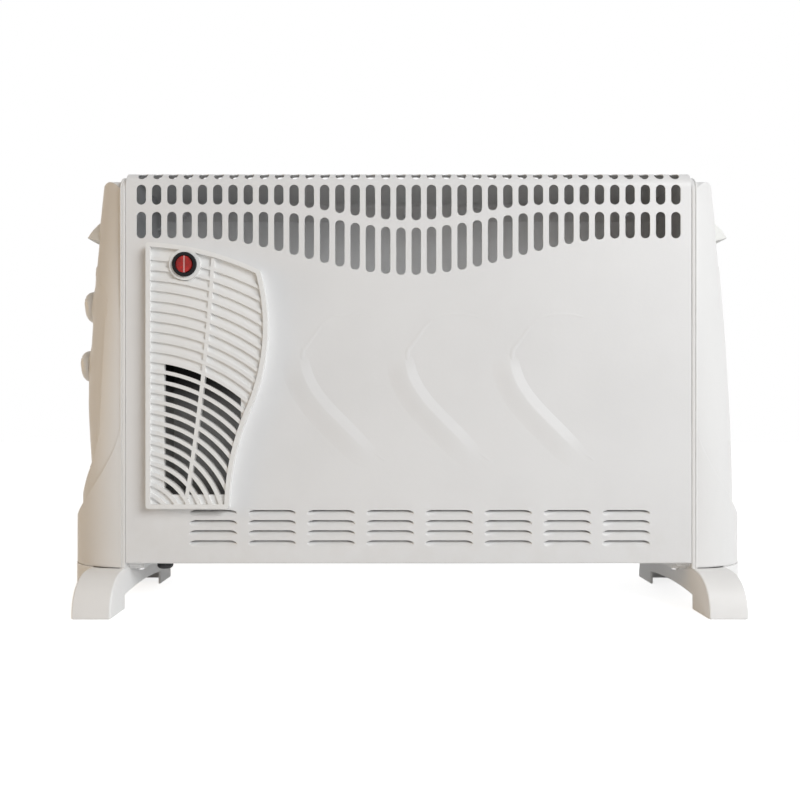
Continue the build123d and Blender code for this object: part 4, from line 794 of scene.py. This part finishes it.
def relief_skin(shape, centre_x):
    """A pressed relief on the front: a ridge with a steep bright slope and a long soft back.

    Its run is a polynomial through measured places; across it the height is a straight slope on one
    side of the crest and a smooth step on the other, and it fades at both ends."""
    run = np.array([
        (4.6, 102.6), (4.6, 90.2), (7.0, 80.7), (14.1, 66.5), (26.0, 52.2), (38.8, 38.0), (53.5, 23.8),
        (67.3, 9.5), (79.6, -1.9)]) / 1000.0
    degree, fade_in, fade_out, edge_sunk, bottom_sunk = 5, 0.16, 0.35, 0.00006, 0.0004
    step = np.hypot(*np.diff(run, axis=0).T)
    at = np.concatenate([[0.0], np.cumsum(step)]) / step.sum()
    t = np.linspace(0.0, 1.0, 90)[:, None]
    x_fit, z_fit = (np.polyfit(at, run[:, axis], degree) for axis in (0, 1))
    ahead_x, ahead_z = np.polyval(np.polyder(x_fit), t), np.polyval(np.polyder(z_fit), t)
    size = np.hypot(ahead_x, ahead_z)
    slope, back = shape.relief_slope, shape.relief_back
    u = np.concatenate([np.linspace(-slope - back, -slope, 24), np.linspace(-slope, slope, 12)[1:]])
    profile = np.where(u < -slope, smooth_step((u + slope + back) / back), (slope - u) / (2.0 * slope))
    fade = smooth_step(t / fade_in) * smooth_step((1.0 - t) / fade_out)
    height = shape.relief_height * profile * fade - edge_sunk
    top = along(centre_x + np.polyval(x_fit, t) - u * ahead_z / size, -shape.half_depth - height,
                shape.relief_low + np.polyval(z_fit, t) + u * ahead_x / size)
    bottom = top[:, ::-1].copy()
    bottom[..., 1] = bottom_sunk - shape.half_depth
    return lidded(np.concatenate([top, bottom], axis=1))


def turned(before, corner, after, radius):
    """Arc that rounds off a corner between two straight runs, from the first run to the second."""
    before, corner, after = (np.array(point) for point in (before, corner, after))
    back = (before - corner) / np.linalg.norm(before - corner)
    ahead = (after - corner) / np.linalg.norm(after - corner)
    half = math.acos(float(np.clip(back @ ahead, -1.0, 1.0))) / 2.0
    middle = (back + ahead) / np.linalg.norm(back + ahead)
    centre = corner + middle * radius / math.sin(half)
    first = corner + back * radius / math.tan(half) - centre
    last = corner + ahead * radius / math.tan(half) - centre
    spread = math.acos(float(np.clip(first @ last / radius ** 2, -1.0, 1.0)))
    part = np.linspace(0.0, 1.0, 8)[:, None]
    arc = np.sin((1.0 - part) * spread) * first + np.sin(part * spread) * last
    return centre + arc / math.sin(spread)


def arch_height(shape, y):
    """Height of the arch between a foot's pads: one arc of a circle."""
    heel = shape.foot_length - shape.pad_length
    sag = shape.arch_top - shape.pad_wall
    radius = (heel * heel + sag * sag) / (2.0 * sag)
    return shape.arch_top - radius + np.sqrt(radius ** 2 - np.minimum(y ** 2, heel ** 2))


def foot_outline(shape, hollow):
    """Outline of a foot from its side, as a full section or as one through the hollow pads.

    The toe's bend is a part of a superellipse: one less a power of the run, to the root of it. Both
    outlines have the same number of points, none of them twice."""
    heel, end, power = shape.foot_length - shape.pad_length, shape.pad_end, shape.foot_power
    inner_y = -0.08
    run = 1.0 - (1.0 - np.linspace(1.0, 0.0, 34)[1:] ** 0.75) ** 1.6
    bend = np.stack([
        -shape.half_depth - (shape.foot_length - shape.half_depth) * run,
        shape.cap_bottom * (1.0 - run ** power) ** (1.0 / power)], axis=1)
    toe = turned((inner_y, 0.0), (-shape.foot_length, 0.0), (-shape.foot_length + 0.0002, 0.004),
                 shape.foot_corner)
    if hollow:
        wall = np.stack([np.full(9, -heel), np.linspace(shape.pad_wall, shape.pad_hollow, 9)], axis=1)
        roof = np.stack([np.linspace(-heel, -end, 7), np.full(7, shape.pad_hollow)], axis=1)
        drop = np.stack([np.full(6, -end), np.linspace(shape.pad_hollow, 0.0, 6)], axis=1)
    else:
        wall = np.concatenate([[(-heel, shape.pad_wall)], turned(
            (-heel, shape.pad_wall), (-heel, 0.0), (inner_y, 0.0), shape.foot_corner)])
        floor_y = np.linspace(-heel - 0.003, -end - 0.0005, 13)
        roof, drop = np.split(np.stack([floor_y, np.zeros(13)], axis=1), [7])
    high = bend[:, 1] > toe[-1, 1] + 0.0005
    half = np.concatenate([wall, roof, drop, toe, bend[high]])
    arch_y = np.linspace(heel, -heel, 34)[1:-1]
    arch = np.stack([arch_y, arch_height(shape, arch_y)], axis=1)
    whole = np.concatenate([half, half[::-1] * np.array([-1.0, 1.0]), arch])
    return whole[:, 0], whole[:, 1]


def foot_skins(shape):
    """A foot's leg with hollow pads, the saddle that carries on the cap's outline, and its tab.

    The leg is its outline carried across, drawn in at both ends by a quarter round, with the hollow
    outline between two walls. A row of the saddle is half an ellipse."""
    y, z = foot_outline(shape, False)
    ahead_y, ahead_z = np.roll(y, -1) - np.roll(y, 1), np.roll(z, -1) - np.roll(z, 1)
    size = np.hypot(ahead_y, ahead_z) + 1e-12
    out_y, out_z = ahead_z / size, -ahead_y / size
    outwards = np.sign((y * out_y).sum())
    across = shape.foot_edge * (1.0 - np.cos(np.linspace(0.0, math.pi / 2, 8)))
    drawn = quarter_round(across, shape.foot_edge)[:, None] * outwards
    full_y, full_z = y - drawn * out_y, z - drawn * out_z
    hollow_y, hollow_z = foot_outline(shape, True)
    hollow_x = np.array([shape.foot_wall, shape.foot_wall + 0.00002, shape.foot_width / 2])
    far_x = np.concatenate([hollow_x[1::-1], across[::-1]])
    x = np.concatenate([across, hollow_x, shape.foot_width - far_x])
    rows_y = np.concatenate([full_y, full_y[-1:], [hollow_y] * 3, full_y[-1:], full_y[::-1]])
    rows_z = np.concatenate([full_z, full_z[-1:], [hollow_z] * 3, full_z[-1:], full_z[::-1]])
    leg = lidded(along(shape.case_half + x[:, None], rows_y, rows_z))

    turn = np.linspace(-math.pi / 2, math.pi / 2, 70)
    rise = np.concatenate([np.sin(np.linspace(0.0, math.pi / 2, 7)) * 0.12, np.linspace(0.2, 1.0, 10)])
    low = np.maximum(arch_height(shape, shape.half_depth * np.sin(turn)), shape.saddle_low)
    height = low + rise[:, None] * (shape.cap_bottom - low)
    drawn = quarter_round(height - low, shape.foot_edge)
    saddle_x = shape.flange_x + (shape.saddle_reach - drawn) * np.cos(turn)
    plan = (shape.half_depth - drawn) * np.sin(turn)
    back = along(np.full((rise.size, 2), shape.flange_x), plan[:, [-1, 0]], height[:, [-1, 0]])
    saddle = loops(np.concatenate([along(saddle_x, plan, height), back], axis=1))

    side, bar_round = shape.case_half, 0.0012
    bars = [
        rounded_bar((side - inside, -half, bottom), (side + outside, half, top), bar_round)
        for inside, outside, half, bottom, top in (
            (0.014, 0.0015, 0.046, 0.0362, 0.0428), (0.012, 0.003, 0.051, 0.0392, 0.0437))]
    return [leg, saddle, *bars]


def rounded_bar(low, high, radius):
    """A bar with every edge rounded: a rounded rectangle carried up, drawn in at both ends."""
    corner = np.linspace(0.0, math.pi / 2, 5)
    turn = np.concatenate([corner + quarter * math.pi / 2 for quarter in range(4)])
    middle_x, middle_y = (low[0] + high[0]) / 2, (low[1] + high[1]) / 2
    half_x, half_y = (high[0] - low[0]) / 2 - radius, (high[1] - low[1]) / 2 - radius
    quarter = np.repeat(np.arange(4), 5)
    centre_x = half_x * np.array([1.0, -1.0, -1.0, 1.0])[quarter]
    centre_y = half_y * np.array([1.0, 1.0, -1.0, -1.0])[quarter]
    z = np.concatenate([
        low[2] + radius * (1.0 - np.cos(corner)), high[2] - radius * (1.0 - np.cos(corner))[::-1]])
    drawn = quarter_round(np.minimum(z - low[2], high[2] - z), radius)[:, None]
    x = middle_x + centre_x + (radius - drawn) * np.cos(turn)
    y = middle_y + centre_y + (radius - drawn) * np.sin(turn)
    return loops(along(x, y, z[:, None]))


# Operators
class HeaterStep(bpy.types.Operator):
    """Base of the steps: hands the settings over and reports success."""

    def execute(self, context):
        self.build(context.scene.heater_shape, context.scene.heater_look)
        return {"FINISHED"}

    def build(self, shape, look):
        raise NotImplementedError


class HEATER_OT_case(HeaterStep):
    """Powder coat on the case's sheets, the front's reliefs, and zinc on the chassis"""

    bl_idname = "heater.case"
    bl_label = "Case"

    def build(self, shape, look):
        coat = powder_coat("case_coat", look.case)
        dress(coat, "front_panel")
        dress(powder_coat("back_coat", look.back), "back_panel")
        places = shape.relief_last - shape.relief_pitch * np.arange(3)
        skins = [relief_skin(shape, place) for place in places]
        piece("front_reliefs", skins, MAIN_BODY, coat)
        dress(zinc_sheet("zinc_sheet"), "base_plate", "left_side_plate", "right_side_plate",
              "partition_plate", "motor_bracket")
        dress(duct_sheet("duct_sheet"), "fan_duct")


class HEATER_OT_caps(HeaterStep):
    """Both end caps, with boot, finger pocket, groove and pale strip"""

    bl_idname = "heater.caps"
    bl_label = "End caps"

    def build(self, shape, look):
        plastic = moulded("cap_plastic", look.cap, 0.46)
        for side, word in SIDES.items():
            skins = on_side([cap_skin(shape, side == LEFT), strip_skin(shape)], side)
            piece(f"{word}_cap_shell", skins, MAIN_BODY, plastic, [f"{word}_end_cap"])


class HEATER_OT_grips(HeaterStep):
    """The carrying lips over the finger pockets"""

    bl_idname = "heater.grips"
    bl_label = "Carrying lips"

    def build(self, shape, look):
        plastic = moulded("grip_plastic", look.grip, 0.44)
        for side, word in SIDES.items():
            piece(f"{word}_grip_hood", on_side([grip_skin(shape)], side), MAIN_BODY, plastic,
                  [f"{word}_handle_grip"])


class HEATER_OT_controls(HeaterStep):
    """The control panel and the two knobs, with their nuts and bodies"""

    bl_idname = "heater.controls"
    bl_label = "Controls"

    def build(self, shape, look):
        plastic = moulded("panel_plastic", look.cap, 0.44)
        heights = (shape.selector_z, shape.thermostat_z)
        skins = [panel_skin(shape)] + [seat_skin(shape, height) for height in heights]
        piece("control_panel_face", on_side(skins, LEFT), MAIN_BODY, plastic,
              ["control_panel"])
        gloss = moulded("knob_plastic", look.knob, 0.3, 0.000015)
        for word, height in zip(("selector", "thermostat"), heights):
            piece(f"{word}_knob_dome", on_side([knob_skin(shape, height)], LEFT), f"{word}_dial",
                  gloss, [f"{word}_knob"])
        dress(moulded("nylon", look.nylon, 0.5), "selector_body", "thermostat_body", "terminal_block")
        dress(plated("brass", (0.70, 0.52, 0.24)), "selector_nut", "thermostat_nut")


class HEATER_OT_feet(HeaterStep):
    """Both feet"""

    bl_idname = "heater.feet"
    bl_label = "Feet"

    def build(self, shape, look):
        plastic = moulded("foot_plastic", look.foot, 0.48)
        for side, word in SIDES.items():
            piece(f"{word}_foot_shell", on_side(foot_skins(shape), side), MAIN_BODY, plastic,
                  [f"{word}_foot"])


class HEATER_OT_fan(HeaterStep):
    """The grille with its switch, and the fan behind it"""

    bl_idname = "heater.fan"
    bl_label = "Fan and grille"

    def build(self, shape, look):
        dress(moulded("grille_plastic", look.grille, 0.36), "fan_grille")
        dress(moulded("bezel_plastic", look.black, 0.42, level=0.2), "fan_switch_housing")
        dress(rocker_plastic("rocker_plastic", look.red, shape.rocker_x), "fan_switch_rocker")
        dress(moulded("black_plastic", look.black, 0.5), "fan_scroll", "fan_impeller", "cord_gland",
              "gland_nut", "thermal_cutout")
        dress(laminated("motor_stack"), "fan_motor")


class HEATER_OT_hardware(HeaterStep):
    """Screws, shafts, heating elements and their insulators"""

    bl_idname = "heater.hardware"
    bl_label = "Hardware"

    def build(self, shape, look):
        dress(plated("plated_steel", (0.72, 0.72, 0.73)), "grille_screws", "foot_screws", "cap_screws",
              "back_screws", "selector_shaft", "thermostat_shaft", "fan_shaft")
        dress(heat_tinted("element_steel"), "front_heating_element", "rear_heating_element")
        dress(fired_clay("ceramic"), "element_insulators")


class HEATER_OT_stage(HeaterStep):
    """Floor, light, world and camera"""

    bl_idname = "heater.stage"
    bl_label = "Stage"

    def build(self, shape, look):
        self.floor(look.floor)
        self.world(look.world)
        middle, left_end = (0.0, 0.0, 0.2), (-0.3, 0.0, 0.2)
        self.lamp("key_lamp", (1.8, -1.95, 1.5), middle, 1.6, look.key, (0.985, 0.992, 1.0))
        self.lamp("warm_lamp", (-1.95, -0.5, 0.5), left_end, 0.9, look.warm, (1.0, 0.57, 0.10))
        self.camera()

    def floor(self, grey):
        """A plain square that also glows for the camera alone, so that it shows white."""
        half, glow_strength = 6.0, 0.78
        corners = [(-half, -half, 0.0), (half, -half, 0.0), (half, half, 0.0), (-half, half, 0.0)]
        mesh = bpy.data.meshes.new("floor")
        mesh.from_pydata(corners, [], [(0, 1, 2, 3)])
        floor = bpy.data.objects.new("floor", mesh)
        bpy.context.scene.collection.objects.link(floor)
        finish = Finish("floor_white", roughness=0.7, Base_Color=colour(grey))
        glow = finish.node("ShaderNodeEmission", {}, {"Strength": glow_strength})
        seen = finish.node("ShaderNodeMixShader", {}, {0: finish.seen(), 2: glow.outputs[0]})
        total = finish.node("ShaderNodeAddShader", {}, {0: finish.surface.outputs[0], 1: seen.outputs[0]})
        finish.feed(finish.output.inputs["Surface"], total.outputs[0])
        mesh.materials.append(finish.material)

    def world(self, strength):
        """Even light from all round, which the camera sees as white."""
        world = bpy.data.worlds.new("studio")
        bpy.context.scene.world = world
        world.use_nodes = True
        tree = Tree(world.node_tree)
        even, white = (
            tree.node("ShaderNodeBackground", {}, {"Color": (1.0, 1.0, 1.0, 1.0), "Strength": value})
            for value in (strength, 1.0))
        mixed = tree.node("ShaderNodeMixShader", {}, {
            0: tree.seen(), 1: even.outputs[0], 2: white.outputs[0]})
        tree.node("ShaderNodeOutputWorld", {}, {"Surface": mixed.outputs[0]})

    def lamp(self, name, place, target, size, watts, tint):
        """A square lamp that faces a point."""
        data = bpy.data.lights.new(name, "AREA")
        data.shape = "SQUARE"
        data.size = size
        data.energy = watts
        data.color = tint
        lamp = bpy.data.objects.new(name, data)
        bpy.context.scene.collection.objects.link(lamp)
        lamp.location = place
        ahead = Vector(target) - Vector(place)
        lamp.rotation_euler = ahead.to_track_quat("-Z", "Y").to_euler()

    def camera(self):
        """A level camera in front, a little left of the middle, with the photo's frame and view."""
        data = bpy.data.cameras.new("camera")
        data.lens = 35.7
        data.sensor_width = 36.0
        data.shift_x, data.shift_y = 0.01625, 0.0275
        camera = bpy.data.objects.new("camera", data)
        bpy.context.scene.collection.objects.link(camera)
        camera.location = (-0.0205, -0.811, 0.1775)
        camera.rotation_euler = (math.pi / 2, 0.0, 0.0)
        bpy.context.scene.camera = camera
        bpy.context.scene.view_settings.view_transform = "Standard"


STEPS = [HEATER_OT_case, HEATER_OT_caps, HEATER_OT_grips, HEATER_OT_controls, HEATER_OT_feet,
         HEATER_OT_fan, HEATER_OT_hardware, HEATER_OT_stage]


class HEATER_PT_panel(bpy.types.Panel):
    """Sidebar panel with one button for each step"""

    bl_label = "Heater"
    bl_space_type = "VIEW_3D"
    bl_region_type = "UI"
    bl_category = "Heater"

    def draw(self, context):
        """A button for each step, and the colours and lamps below them."""
        for step in STEPS:
            self.layout.operator(step.bl_idname)
        for name in HeaterLook.__annotations__:
            self.layout.prop(context.scene.heater_look, name)


CLASSES = [HeaterShape, HeaterLook, *STEPS, HEATER_PT_panel]


def register():
    """Makes the classes and both groups of settings known."""
    for made in CLASSES:
        bpy.utils.register_class(made)
    bpy.types.Scene.heater_shape = PointerProperty(type=HeaterShape)
    bpy.types.Scene.heater_look = PointerProperty(type=HeaterLook)


def unregister():
    """Takes back what register did."""
    del bpy.types.Scene.heater_look
    del bpy.types.Scene.heater_shape
    for made in reversed(CLASSES):
        bpy.utils.unregister_class(made)


def main():
    """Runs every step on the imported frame."""
    register()
    for step in STEPS:
        group, name = step.bl_idname.split(".")
        getattr(getattr(bpy.ops, group), name)()


if __name__ == "__main__":
    main()
